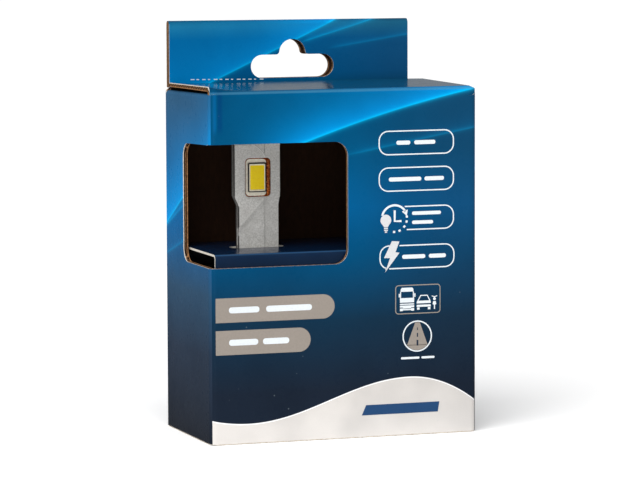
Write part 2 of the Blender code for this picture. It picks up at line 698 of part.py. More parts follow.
def wire_tube(name, points, mat):
    """A round wire along a line of points."""
    curve = bpy.data.curves.new(name, "CURVE")
    curve.dimensions = "3D"
    curve.bevel_depth = WIRE_R
    curve.bevel_resolution = 2
    curve.use_fill_caps = True
    spline = curve.splines.new("POLY")
    spline.points.add(len(points) - 1)
    for place, point in zip(spline.points, points):
        place.co = (*point, 1.0)
    curve.materials.append(mat)
    obj = bpy.data.objects.new(name, curve)
    bpy.context.scene.collection.objects.link(obj)


def make_connector(mats):
    """Round socket with bayonet lugs, its insulator and both contacts."""
    roof_low = SHROUD_TOP - 1.6 * MM
    wall = SHROUD_R - 1.4 * MM
    bore = 1.6 * MM
    profile = [
        (wall, BULB_LOW), (SHROUD_R, BULB_LOW), (SHROUD_R, SHROUD_TOP),
        (bore, SHROUD_TOP), (bore, roof_low), (wall, roof_low),
    ]
    shroud = turned("connector_shroud", profile, mats["black"], AXIS)
    for angle in (0, 90, 180, 270):
        low = (BULB_X + SHROUD_R - MM, BULB_Y - 1.5 * MM, BULB_LOW + 2.0 * MM)
        high = (BULB_X + SHROUD_R + 1.7 * MM, BULB_Y + 1.5 * MM, BULB_LOW + 4.6 * MM)
        add(shroud, turned_about_z(box("add_lug", low, high), angle + 20, AXIS))
    for angle in (0, 180):
        centre = polar(9.0 * MM, angle)
        cut(shroud, rod("cut_roof", 1.05 * MM, roof_low - MM, SHROUD_TOP + MM, centre=centre))
    top = roof_low - GAP
    low = BULB_LOW + 2.6 * MM
    tube("connector_insulator", bore, 6.5 * MM, low, top, mats["ceramic"], AXIS)
    tube("side_contact_ring", 6.8 * MM, 7.4 * MM, low + 2.4 * MM, top, mats["brass"], AXIS)
    pin_low = BULB_LOW + 1.8 * MM
    pin_top = HOUSING_LOW + 3.9 * MM
    profile = [(0.0, pin_low), (0.7 * MM, pin_low), (1.2 * MM, pin_low + 0.6 * MM)]
    profile += [(1.2 * MM, pin_top), (0.0, pin_top)]
    turned("centre_contact_pin", profile, mats["brass"], AXIS, SMALL_ROUND)


def make_housing_screws(mats):
    """Three long screws clamp housing, fan frame and heat sink; two hold the shroud."""
    for number, angle in enumerate(SCREW_ANGLES, 1):
        name = f"housing_screw_{number}"
        high = HOUSING_LOW - GAP
        tip = SINK_TOP - 3.2 * MM
        screw(name, polar(SCREW_CIRCLE, angle), 2.0 * MM, high - 1.2 * MM, high, 0.95 * MM, tip, mats["steel"])
    for number, angle in enumerate((0, 180), 1):
        name = f"shroud_screw_{number}"
        low = HOUSING_LOW + 1.5 * MM + GAP
        tip = SHROUD_TOP - 1.2 * MM
        screw(name, polar(9.0 * MM, angle), 1.5 * MM, low, low + MM, 0.75 * MM, tip, mats["steel"])


def main():
    clear_scene()
    mats = materials()
    make_carton_body(mats)
    make_bottom_flaps(mats)
    make_top_panel(mats)
    make_dust_flaps(mats)
    make_hang_tab(mats)
    make_card_insert(mats)
    make_blade_half("blade_front_half", -1, mats)
    make_blade_half("blade_rear_half", 1, mats)
    make_led("front", -1, mats)
    make_led("rear", 1, mats)
    make_copper_core(mats)
    make_blade_screws(mats)
    make_collar(mats)
    make_heat_sink(mats)
    make_fan(mats)
    make_housing(mats)
    make_driver(mats)
    make_led_wires(mats)
    make_connector(mats)
    make_housing_screws(mats)


main()
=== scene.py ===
"""Looks of the LED headlight bulb in its windowed hanging carton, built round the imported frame."""

import math
from collections import namedtuple

import bmesh
import bpy
from mathutils import Matrix, Vector
from mathutils.kdtree import KDTree


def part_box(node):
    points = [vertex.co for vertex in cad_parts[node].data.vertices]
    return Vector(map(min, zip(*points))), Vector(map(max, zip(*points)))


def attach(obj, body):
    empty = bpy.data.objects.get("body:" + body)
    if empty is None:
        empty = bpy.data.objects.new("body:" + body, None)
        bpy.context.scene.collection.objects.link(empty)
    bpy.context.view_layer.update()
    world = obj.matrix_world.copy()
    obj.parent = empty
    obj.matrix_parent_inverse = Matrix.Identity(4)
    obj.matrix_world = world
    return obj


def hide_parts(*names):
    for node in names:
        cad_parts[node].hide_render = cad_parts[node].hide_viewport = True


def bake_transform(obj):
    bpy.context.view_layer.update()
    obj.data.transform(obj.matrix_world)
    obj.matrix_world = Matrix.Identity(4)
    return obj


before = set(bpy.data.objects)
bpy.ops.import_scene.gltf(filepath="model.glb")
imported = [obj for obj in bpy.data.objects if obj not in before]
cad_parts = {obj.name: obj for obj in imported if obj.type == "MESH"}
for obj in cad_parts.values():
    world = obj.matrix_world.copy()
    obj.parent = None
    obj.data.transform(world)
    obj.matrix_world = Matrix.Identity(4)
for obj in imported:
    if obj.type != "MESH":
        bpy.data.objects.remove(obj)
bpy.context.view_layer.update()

MM = 0.001

# ------------------------------------------------------------------ places from the frame

CARTON_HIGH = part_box("carton_body")[1]
PANEL_LOW, PANEL_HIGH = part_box("top_panel")
TAB_LOW, TAB_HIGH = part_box("hang_tab")
FLAP_LOW, FLAP_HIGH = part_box("dust_flap_left")
INSERT_LOW, INSERT_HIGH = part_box("card_insert")
BLADE_LOW, BLADE_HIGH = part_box("blade_front_half")
FOOT_LOW = BLADE_LOW.z
LED_LOW, LED_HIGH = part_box("led_frame_front")
CORE_LOW, CORE_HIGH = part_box("copper_core")

HALF_W = CARTON_HIGH.x
HALF_D = CARTON_HIGH.y
TOP = CARTON_HIGH.z
FRONT = -HALF_D
BOARD = PANEL_HIGH.z - PANEL_LOW.z
FRONT_TOP = PANEL_LOW.z - 0.3 * MM
SIDE_TOP = FLAP_LOW.z - 0.3 * MM
FOLD_R = 1.9 * MM                   # outer radius of the carton's vertical folds
BULB_X = (CORE_LOW.x + CORE_HIGH.x) / 2
BULB_Y = (CORE_LOW.y + CORE_HIGH.y) / 2
LIGHT_Z = (LED_LOW.z + LED_HIGH.z) / 2
SHELF = INSERT_HIGH.z
CARD = 0.6 * MM

# Window, wrapped round the front left fold
WINDOW_RIGHT = 0.9 * MM
WINDOW_REAR = 3.6 * MM
WINDOW_LOW = 49.9 * MM
WINDOW_HIGH = 84.6 * MM
WINDOW_R = 4.0 * MM

# Euro slot in the hang tab
SLOT_X = -1.8 * MM
SLOT_Z = 104.0 * MM
SLOT_HALF = 12.7 * MM
SLOT_R = 3.4 * MM
HUMP_R = 4.0 * MM
HUMP_UP = 0.55 * MM                 # the hump's centre above the slot's top edge
HUMP_FILLET = 1.0 * MM

INK_LIFT = 0.03 * MM                # printed marks stand this far off the board
WALL_DROP = 1.0 * MM                # bent skins start this far below a wall's top
CREASE_RUN = 2.4 * MM               # and run this far along the folded panel
TAB_FOOT = TOP + 1.1 * MM           # the rear wall's skin runs this far up into the tab


# ------------------------------------------------------------------ materials

class Finish:
    """A node material while it is being put together."""

    def __init__(self, name):
        self.mat = bpy.data.materials.new(name)
        self.mat.use_nodes = True
        self.tree = self.mat.node_tree
        self.shader = self.tree.nodes["Principled BSDF"]
        self._object = None

    def put(self, socket, value):
        """Link a socket, or set a constant."""
        if isinstance(value, bpy.types.NodeSocket):
            self.tree.links.new(value, socket)
        elif hasattr(value, "__len__") and len(value) == 3 and socket.type == "RGBA":
            socket.default_value = (*value, 1.0)
        else:
            socket.default_value = value

    def node(self, kind, inputs=None, **settings):
        """Add a node, fill its inputs and return it."""
        made = self.tree.nodes.new(kind)
        for key, value in settings.items():
            setattr(made, key, value)
        for key, value in (inputs or {}).items():
            self.put(made.inputs[key], value)
        return made

    def math(self, operation, a, b=0.0, clamp=False):
        """One arithmetic step."""
        made = self.node("ShaderNodeMath", {0: a, 1: b}, operation=operation, use_clamp=clamp)
        return made.outputs[0]

    def times(self, a, b):
        """Product of two values."""
        return self.math("MULTIPLY", a, b)

    def plus(self, a, b):
        """Sum of two values."""
        return self.math("ADD", a, b)

    def gap(self, a, b):
        """Distance between two values."""
        return self.math("ABSOLUTE", self.math("SUBTRACT", a, b))

    def point(self):
        """Object coordinates."""
        if self._object is None:
            self._object = self.node("ShaderNodeTexCoord").outputs["Object"]
        return self._object

    def axes(self):
        """Object coordinates as x, y and z."""
        split = self.node("ShaderNodeSeparateXYZ", {0: self.point()})
        return split.outputs[0], split.outputs[1], split.outputs[2]

    def scaled(self, x, y, z):
        """Object coordinates stretched on each axis."""
        made = self.node("ShaderNodeMapping", {0: self.point(), "Scale": (x, y, z)})
        return made.outputs[0]

    def noise(self, scale, detail=4.0, rough=0.55, vector=None):
        """Fractal noise from 0 to 1."""
        inputs = {"Vector": vector or self.point(), "Scale": scale, "Detail": detail, "Roughness": rough}
        return self.node("ShaderNodeTexNoise", inputs).outputs[0]

    def cells(self, scale, vector=None):
        """Distance to the nearest random point."""
        inputs = {"Vector": vector or self.point(), "Scale": scale}
        return self.node("ShaderNodeTexVoronoi", inputs).outputs["Distance"]

    def span(self, value, low, high, out_low=0.0, out_high=1.0, smooth=True):
        """Map a value from one range to another, held at the ends."""
        kind = "SMOOTHSTEP" if smooth else "LINEAR"
        inputs = {0: value, 1: low, 2: high, 3: out_low, 4: out_high}
        return self.node("ShaderNodeMapRange", inputs, interpolation_type=kind).outputs[0]

    def mix(self, factor, a, b, blend="MIX"):
        """Mix two colours."""
        made = self.node("ShaderNodeMix", data_type="RGBA", blend_type=blend)
        self.put(made.inputs[0], factor)
        self.put(made.inputs[6], a)
        self.put(made.inputs[7], b)
        return made.outputs[2]

    def ramp(self, factor, stops):
        """Colour ramp with (place, colour) stops."""
        made = self.node("ShaderNodeValToRGB", {0: factor})
        elements = made.color_ramp.elements
        while len(elements) < len(stops):
            elements.new(0.5)
        for element, (place, color) in zip(elements, stops):
            element.position = place
            element.color = (*color, 1.0)
        return made.outputs[0]

    def bump(self, height, distance, strength=1.0):
        """Bump whose height 1 stands for a real distance."""
        inputs = {"Height": height, "Distance": distance, "Strength": strength}
        made = self.node("ShaderNodeBump", inputs)
        self.put(self.shader.inputs["Normal"], made.outputs[0])

    def set(self, **values):
        """Shader inputs by name, with _ for a space."""
        for key, value in values.items():
            self.put(self.shader.inputs[key.replace("_", " ")], value)
        return self.mat


def srgb(red, green, blue):
    """Linear colour from 0-255 display values."""
    def linear(value):
        part = value / 255
        return part / 12.92 if part <= 0.04045 else ((part + 0.055) / 1.055) ** 2.4
    return linear(red), linear(green), linear(blue)


# Kraft darkened as painted shade for the faces inside the carton
KRAFT_IN_SHADE = srgb(50, 29, 14)
LINER_WHITE = srgb(225, 220, 212)
INK_WHITE = srgb(224, 230, 234)
INK_GREY = srgb(148, 139, 130)
CREAM = srgb(212, 212, 214)

# The print's inks, as display colours from 0 to 255
NIGHT = (30, 40, 55)
DEEP = (20, 52, 76)
MIDDLE = (0, 80, 124)
BRIGHT = (0, 95, 150)
UPPER = (0, 86, 130)
LID_INK = (12, 80, 112)
RIGHT_DIM = 0.4                     # share of night ink mixed in towards the right edge: darker to the right

# Each face's inks by height in mm. The walls are dark at the foot and brightest two thirds of the way up
WALL_INKS = ((14, NIGHT), (34, DEEP), (52, MIDDLE), (66, BRIGHT), (82, UPPER), (100, UPPER))
# The left side's colours are its print with a painted sheen mixed in
SIDE_INKS_AND_SHEEN = (
    (0, (35, 40, 50)), (25, (45, 60, 80)), (42, (50, 85, 115)), (62, (0, 110, 175)), (95, (50, 95, 130)),
)
# The tab's dark top stop is painted shade along its top fold
TAB_INKS_AND_FOLD_SHADE = ((98, UPPER), (102, BRIGHT), (112, BRIGHT), (116, (30, 120, 160)), (118, (10, 55, 80)))
LID_INKS = ((0, LID_INK), (100, LID_INK))
GLOW = srgb(0, 150, 226)
BEAM_EDGE = srgb(0, 190, 244)

# The cream field's upper edge on the front, in mm: half a wave up to its crest, then a steeper fall
CREAM_CREST = 19.5
CREAM_MEAN = 11.25
CREAM_SWING = 5.55
CREAM_HALF_WAVE = 48.5
CREAM_FALL = 0.019                  # fall beyond the crest, per mm squared

INK_STRENGTH = 0.82                 # share of the stated print colours' light that the ink sends back
CLOUD_INK = srgb(10, 52, 84)        # darkens the print in soft clouds

# A printed beam of light. slope, level (mm) and curve (per metre) place its lower edge, reach (mm) is how far
# it fades above, glow and edge are strengths, and it comes up from start to full (mm) across.
Beam = namedtuple("Beam", "slope level curve reach glow edge start full", defaults=(-99.0, -98.0))
BEAM_LINE_UP = 0.15 * MM            # the bright line on a beam's lower edge
BEAM_LINE_FADE = 0.4 * MM


def height_ramp(fin, z, stops):
    """Colour by height from (mm, display colour) stops."""
    top = stops[-1][0]
    share = fin.math("DIVIDE", z, top * MM)
    ramp = [(height / top, [part * INK_STRENGTH for part in srgb(*color)]) for height, color in stops]
    return fin.ramp(share, ramp)


def add_beam(fin, color, across, height, beam):
    """A printed beam of light: a crisp bright lower edge that fades out above it."""
    bend = fin.times(fin.times(across, across), beam.curve)
    line = fin.plus(fin.times(across, beam.slope), beam.level * MM)
    above = fin.math("SUBTRACT", height, fin.plus(line, bend))
    shown = fin.span(across, beam.start * MM, beam.full * MM)
    fade = fin.times(fin.math("MAXIMUM", above, 0.0), -1 / (beam.reach * MM))
    glow = fin.times(fin.math("EXPONENT", fade), fin.span(above, -0.2 * MM, 0.1 * MM))
    glow = fin.times(glow, fin.times(shown, beam.glow))
    color = fin.mix(glow, color, GLOW)
    near = fin.times(fin.gap(above, BEAM_LINE_UP), -1 / BEAM_LINE_FADE)
    edge = fin.times(fin.math("EXPONENT", near), fin.times(shown, beam.edge))
    return fin.mix(edge, color, BEAM_EDGE)


def cream_field(fin, color, x, z):
    """The cream field along the foot of the front, with its white edge line."""
    from_crest = fin.math("SUBTRACT", fin.math("DIVIDE", x, MM), CREAM_CREST)
    turn = fin.times(fin.math("MINIMUM", from_crest, 0.0), math.pi / CREAM_HALF_WAVE)
    wave = fin.times(fin.math("COSINE", turn), CREAM_SWING)
    past = fin.math("MAXIMUM", from_crest, 0.0)
    fall = fin.times(fin.times(past, past), CREAM_FALL)
    level = fin.math("SUBTRACT", fin.plus(wave, CREAM_MEAN), fall)
    level = fin.times(level, MM)
    under = fin.math("SUBTRACT", level, z)
    cloud = fin.noise(70.0, 3.0)
    cream = fin.mix(fin.span(cloud, 0.3, 0.7), srgb(216, 211, 206), srgb(208, 203, 198))
    cream = fin.mix(fin.span(z, 0.0, 14.0 * MM, 0.35, 0.0), cream, srgb(220, 217, 214))
    inside = fin.span(under, -0.06 * MM, 0.06 * MM)
    color = fin.mix(inside, color, cream)
    rim = fin.span(fin.gap(under, 0.1 * MM), 0.10 * MM, 0.22 * MM, 1.0, 0.0)
    return fin.mix(rim, color, srgb(250, 250, 250))


# Places of the front's painted shade and painted highlight at its left fold and under the lid's crease
FOLD_SHADE_BAND = 36.9 * MM               # left of the middle
FOLD_HIGHLIGHT_BAND = 38.4 * MM
CREASE_HIGHLIGHT_BAND = 98.9 * MM             # height


def fold_painted_shade_and_highlight(fin, color, x, z):
    """Painted shade and painted highlight beside the front's left fold, and a painted highlight under the
    lid's crease with painted shade above it.
    """
    upper = fin.span(z, 86.5 * MM, 90.0 * MM)
    # painted shade in a band beside the left fold
    dark = fin.span(fin.math("ABSOLUTE", fin.plus(x, FOLD_SHADE_BAND)), 0.2 * MM, 1.1 * MM, 0.6, 0.0)
    color = fin.mix(fin.times(dark, upper), color, srgb(0, 58, 112))
    # painted highlight on the fold itself
    light = fin.span(fin.math("ABSOLUTE", fin.plus(x, FOLD_HIGHLIGHT_BAND)), 0.1 * MM, 0.8 * MM, 0.35, 0.0)
    color = fin.mix(fin.times(light, upper), color, srgb(0, 112, 178))
    # painted highlight along the crease
    under = fin.span(fin.gap(z, CREASE_HIGHLIGHT_BAND), 0.15 * MM, 0.5 * MM, 0.5, 0.0)
    color = fin.mix(under, color, srgb(70, 130, 160))
    # painted shade where the board turns over to the lid
    return fin.mix(fin.span(z, 99.1 * MM, 99.7 * MM, 0.0, 0.75), color, srgb(6, 66, 98))


def coated_print(name, across_axis, stops, beams, gloss=0.03, rough=(0.26, 0.40), front=False, dim=0.0):
    """Glossy printed face of the board, with fine grain, dust and a slight washboard."""
    fin = Finish(name)
    x, y, z = fin.axes()
    across = (x, y)[across_axis]
    color = height_ramp(fin, z, stops)
    if dim:
        night = [part * INK_STRENGTH for part in srgb(*NIGHT)]
        color = fin.mix(fin.span(x, -6.0 * MM, 38.0 * MM, 0.0, dim), color, night)
    for line in beams:
        color = add_beam(fin, color, across, z, line)
    if front:
        # the front also gets painted shade and painted highlight at its left fold and crease
        color = cream_field(fin, fold_painted_shade_and_highlight(fin, color, x, z), x, z)
    grain = fin.noise(2600.0, 2.0)
    color = fin.mix(fin.span(grain, 0.3, 0.7, 0.0, 0.07), color, srgb(70, 100, 120), "SOFT_LIGHT")
    cloud = fin.noise(38.0, 3.0)
    color = fin.mix(fin.span(cloud, 0.35, 0.75, 0.0, 0.16), color, CLOUD_INK, "MULTIPLY")
    specks = fin.cells(330.0)
    dust = fin.times(fin.span(specks, 0.035, 0.075, 1.0, 0.0), fin.span(fin.noise(95.0), 0.57, 0.62))
    color = fin.mix(fin.times(dust, 0.35), color, srgb(150, 165, 172))
    scuff = fin.noise(240.0, 5.0, 0.7)
    roughness = fin.span(scuff, 0.35, 0.75, rough[0], rough[1])
    fin.bump(fin.noise(110.0), 0.02 * MM, 0.5)
    return fin.set(Base_Color=color, Roughness=roughness, Specular_IOR_Level=gloss)


def kraft_liner(name, base=KRAFT_IN_SHADE):
    """Uncoated brown liner with fibres and faint flute lines."""
    fin = Finish(name)
    fibres = fin.noise(900.0, 6.0, 0.7, fin.scaled(1.0, 1.0, 0.35))
    blotch = fin.noise(70.0, 4.0)
    dark = tuple(part * 0.62 for part in base)
    color = fin.mix(fin.span(fibres, 0.3, 0.72), base, dark)
    color = fin.mix(fin.span(blotch, 0.3, 0.7, 0.0, 0.35), color, dark)
    flute = fin.node("ShaderNodeTexWave", {"Vector": fin.scaled(1.0, 1.0, 0.0), "Scale": 125.0},
                     bands_direction="DIAGONAL").outputs[1]
    color = fin.mix(fin.times(flute, 0.12), color, dark)
    fin.bump(fin.plus(fin.times(flute, 0.5), fibres), 0.05 * MM, 0.7)
    return fin.set(Base_Color=color, Roughness=0.88, Specular_IOR_Level=0.2)


def cut_board_edge(name):
    """Cut edge of the board: white printed liner, fluted medium with painted shade in the hollows between its
    flutes, brown inner liner.
    """
    fin = Finish(name)
    depth = fin.node("ShaderNodeAttribute", attribute_name="depth").outputs["Fac"]
    wobble = fin.times(fin.math("SUBTRACT", fin.noise(700.0, 3.0), 0.5), 0.10)
    depth = fin.plus(depth, wobble)
    x, y, z = fin.axes()
    along = fin.plus(x, y)
    swing = fin.math("SINE", fin.times(along, 2 * math.pi / (2.3 * MM)))
    middle = fin.plus(fin.times(swing, 0.27), 0.52)
    medium = fin.span(fin.gap(depth, middle), 0.07, 0.16, 1.0, 0.0)
    outer = fin.span(depth, 0.17, 0.23, 1.0, 0.0)
    inner = fin.span(depth, 0.78, 0.84)
    fibres = fin.noise(1600.0, 5.0, 0.7)
    brown = fin.mix(fin.span(fibres, 0.3, 0.7), srgb(176, 128, 84), srgb(112, 76, 46))
    # painted shade in the hollows between the flutes
    painted_hollow_shade = fin.mix(fin.span(fibres, 0.3, 0.7), srgb(52, 32, 18), srgb(24, 14, 8))
    color = fin.mix(medium, painted_hollow_shade, brown)
    color = fin.mix(inner, color, brown)
    white = fin.mix(fin.span(fibres, 0.3, 0.7), LINER_WHITE, srgb(196, 182, 164))
    color = fin.mix(outer, color, white)
    relief = fin.math("MAXIMUM", medium, fin.math("MAXIMUM", outer, inner))
    fin.bump(fin.plus(relief, fin.times(fibres, 0.3)), 0.25 * MM, 0.8)
    return fin.set(Base_Color=color, Roughness=0.9, Specular_IOR_Level=0.15)


def ink(name, color, rough=0.35):
    """A flat printed ink with the board's grain in it."""
    fin = Finish(name)
    grain = fin.noise(1800.0, 3.0)
    worn = tuple(part * 0.86 for part in color)
    shade = fin.mix(fin.span(grain, 0.35, 0.75, 0.0, 0.5), color, worn)
    cloud = fin.noise(60.0, 3.0)
    shade = fin.mix(fin.span(cloud, 0.35, 0.7, 0.0, 0.25), shade, worn)
    fin.bump(grain, 0.01 * MM, 0.4)
    return fin.set(Base_Color=shade, Roughness=rough, Specular_IOR_Level=0.35)


def glossy_card(name):
    """Navy coated card of the insert."""
    fin = Finish(name)
    cloud = fin.noise(45.0, 4.0)
    color = fin.mix(fin.span(cloud, 0.3, 0.7, 0.0, 0.6), srgb(4, 28, 54), srgb(8, 34, 62))
    specks = fin.cells(420.0)
    dust = fin.times(fin.span(specks, 0.04, 0.08, 1.0, 0.0), fin.span(fin.noise(120.0), 0.55, 0.6))
    color = fin.mix(fin.times(dust, 0.6), color, srgb(170, 180, 190))
    _, y, z = fin.axes()
    # painted reflection: a lighter band along the shelf's front bend
    bend_painted_reflection = fin.times(fin.span(y, INSERT_LOW.y + 0.5 * MM, INSERT_LOW.y + 1.3 * MM, 1.0, 0.0),
                       fin.span(z, SHELF - 0.55 * MM, SHELF - 0.1 * MM))
    color = fin.mix(fin.times(bend_painted_reflection, 0.55), color, srgb(58, 98, 138))
    rough = fin.span(fin.noise(300.0, 4.0), 0.3, 0.7, 0.16, 0.26)
    fin.bump(fin.noise(420.0, 3.0), 0.012 * MM, 0.5)
    return fin.set(Base_Color=color, Roughness=rough, Specular_IOR_Level=0.25)


def blasted_metal(name, light, dark, bump=0.035, rough=(0.42, 0.58), metallic=1.0):
    """Cast aluminium with a sand-blasted skin."""
    fin = Finish(name)
    grit = fin.noise(2300.0, 6.0, 0.75)
    pits = fin.cells(2600.0)
    cloud = fin.noise(170.0, 4.0)
    color = fin.mix(fin.span(grit, 0.3, 0.7), light, dark)
    color = fin.mix(fin.span(cloud, 0.35, 0.7, 0.0, 0.4), color, dark)
    height = fin.plus(grit, fin.times(fin.span(pits, 0.0, 0.4), 0.5))
    fin.bump(height, bump * MM, 0.9)
    roughness = fin.span(grit, 0.3, 0.7, rough[0], rough[1])
    return fin.set(Base_Color=color, Roughness=roughness, Metallic=metallic)


def turned_metal(name, light, dark, rough=0.3):
    """Lathe-turned metal with fine rings about the bulb's axis and a few stains."""
    fin = Finish(name)
    centred = fin.node("ShaderNodeMapping", {0: fin.point(), "Location": (-BULB_X, -BULB_Y, 0.0)}).outputs[0]
    rings = fin.node("ShaderNodeTexWave", {"Vector": centred, "Scale": 2200.0, "Distortion": 1.5},
                     wave_type="RINGS", rings_direction="Z").outputs[1]
    cloud = fin.noise(160.0, 4.0)
    color = fin.mix(fin.span(cloud, 0.3, 0.7), light, dark)
    color = fin.mix(fin.times(rings, 0.25), color, dark)
    fin.bump(rings, 0.008 * MM, 0.5)
    roughness = fin.span(cloud, 0.3, 0.7, rough, rough + 0.14)
    return fin.set(Base_Color=color, Roughness=roughness, Metallic=1.0)


def moulded_plastic(name, light, dark, rough=(0.42, 0.58)):
    """Spark-eroded moulded plastic."""
    fin = Finish(name)
    grain = fin.noise(1500.0, 4.0, 0.65)
    cloud = fin.noise(90.0, 3.0)
    color = fin.mix(fin.span(cloud, 0.3, 0.7), light, dark)
    fin.bump(grain, 0.03 * MM, 0.7)
    roughness = fin.span(grain, 0.3, 0.7, rough[0], rough[1])
    return fin.set(Base_Color=color, Roughness=roughness)


def sintered_copper(name):
    """Bare copper of the core, granular where it was left unplated."""
    fin = Finish(name)
    grains = fin.cells(2400.0)
    grit = fin.noise(1900.0, 5.0, 0.7)
    color = fin.mix(fin.span(grains, 0.1, 0.6), srgb(246, 128, 48), srgb(140, 52, 16))
    color = fin.mix(fin.span(grit, 0.52, 0.66), color, srgb(255, 176, 96))
    fin.bump(fin.plus(grit, grains), 0.09 * MM, 1.0)
    return fin.set(Base_Color=color, Roughness=0.42, Metallic=0.75)


def phosphor_face(name):
    """Yellow phosphor over a faint grid of chips."""
    fin = Finish(name)
    x, _, z = fin.axes()
    pitch = 1.02 * MM
    lines = []
    for place in (x, z):
        cell = fin.math("FRACT", fin.math("DIVIDE", place, pitch))
        lines.append(fin.span(fin.gap(cell, 0.5), 0.42, 0.5))
    grid = fin.math("MAXIMUM", lines[0], lines[1])
    grain = fin.noise(2600.0, 3.0)
    color = fin.mix(fin.span(grain, 0.3, 0.7), srgb(255, 224, 0), srgb(250, 214, 0))
    color = fin.mix(fin.times(grid, 0.35), color, srgb(244, 220, 40))
    fin.bump(grain, 0.004 * MM, 0.4)
    return fin.set(Base_Color=color, Roughness=0.5, Specular_IOR_Level=0.3)


def white_ceramic(name, light, dark):
    """Matt ceramic or solder-masked laminate."""
    fin = Finish(name)
    grain = fin.noise(1400.0, 4.0)
    color = fin.mix(fin.span(grain, 0.3, 0.7), light, dark)
    fin.bump(grain, 0.012 * MM, 0.6)
    return fin.set(Base_Color=color, Roughness=0.48)


def laminate_with_tracks(name):
    """Green driver laminate with tracks under the mask and tinned pads."""
    fin = Finish(name)
    x, y, _ = fin.axes()
    tracks = fin.node("ShaderNodeTexBrick", {"Vector": fin.point(), "Scale": 260.0, "Mortar Size": 0.03,
                                             "Brick Width": 0.9, "Row Height": 0.35}).outputs["Fac"]
    pads = fin.cells(300.0)
    color = fin.mix(tracks, srgb(12, 78, 40), srgb(30, 118, 64))
    tin = fin.span(pads, 0.13, 0.16, 1.0, 0.0)
    color = fin.mix(tin, color, srgb(200, 200, 196))
    fin.bump(fin.plus(tracks, tin), 0.03 * MM, 0.7)
    return fin.set(Base_Color=color, Roughness=0.32, Metallic=tin)


def soft_rubber(name):
    """Matt black rubber with bloom."""
    fin = Finish(name)
    bloom = fin.noise(260.0, 5.0)
    color = fin.mix(fin.span(bloom, 0.4, 0.75), srgb(30, 30, 31), srgb(58, 57, 56))
    fin.bump(fin.noise(1700.0, 3.0), 0.02 * MM, 0.6)
    return fin.set(Base_Color=color, Roughness=0.82)


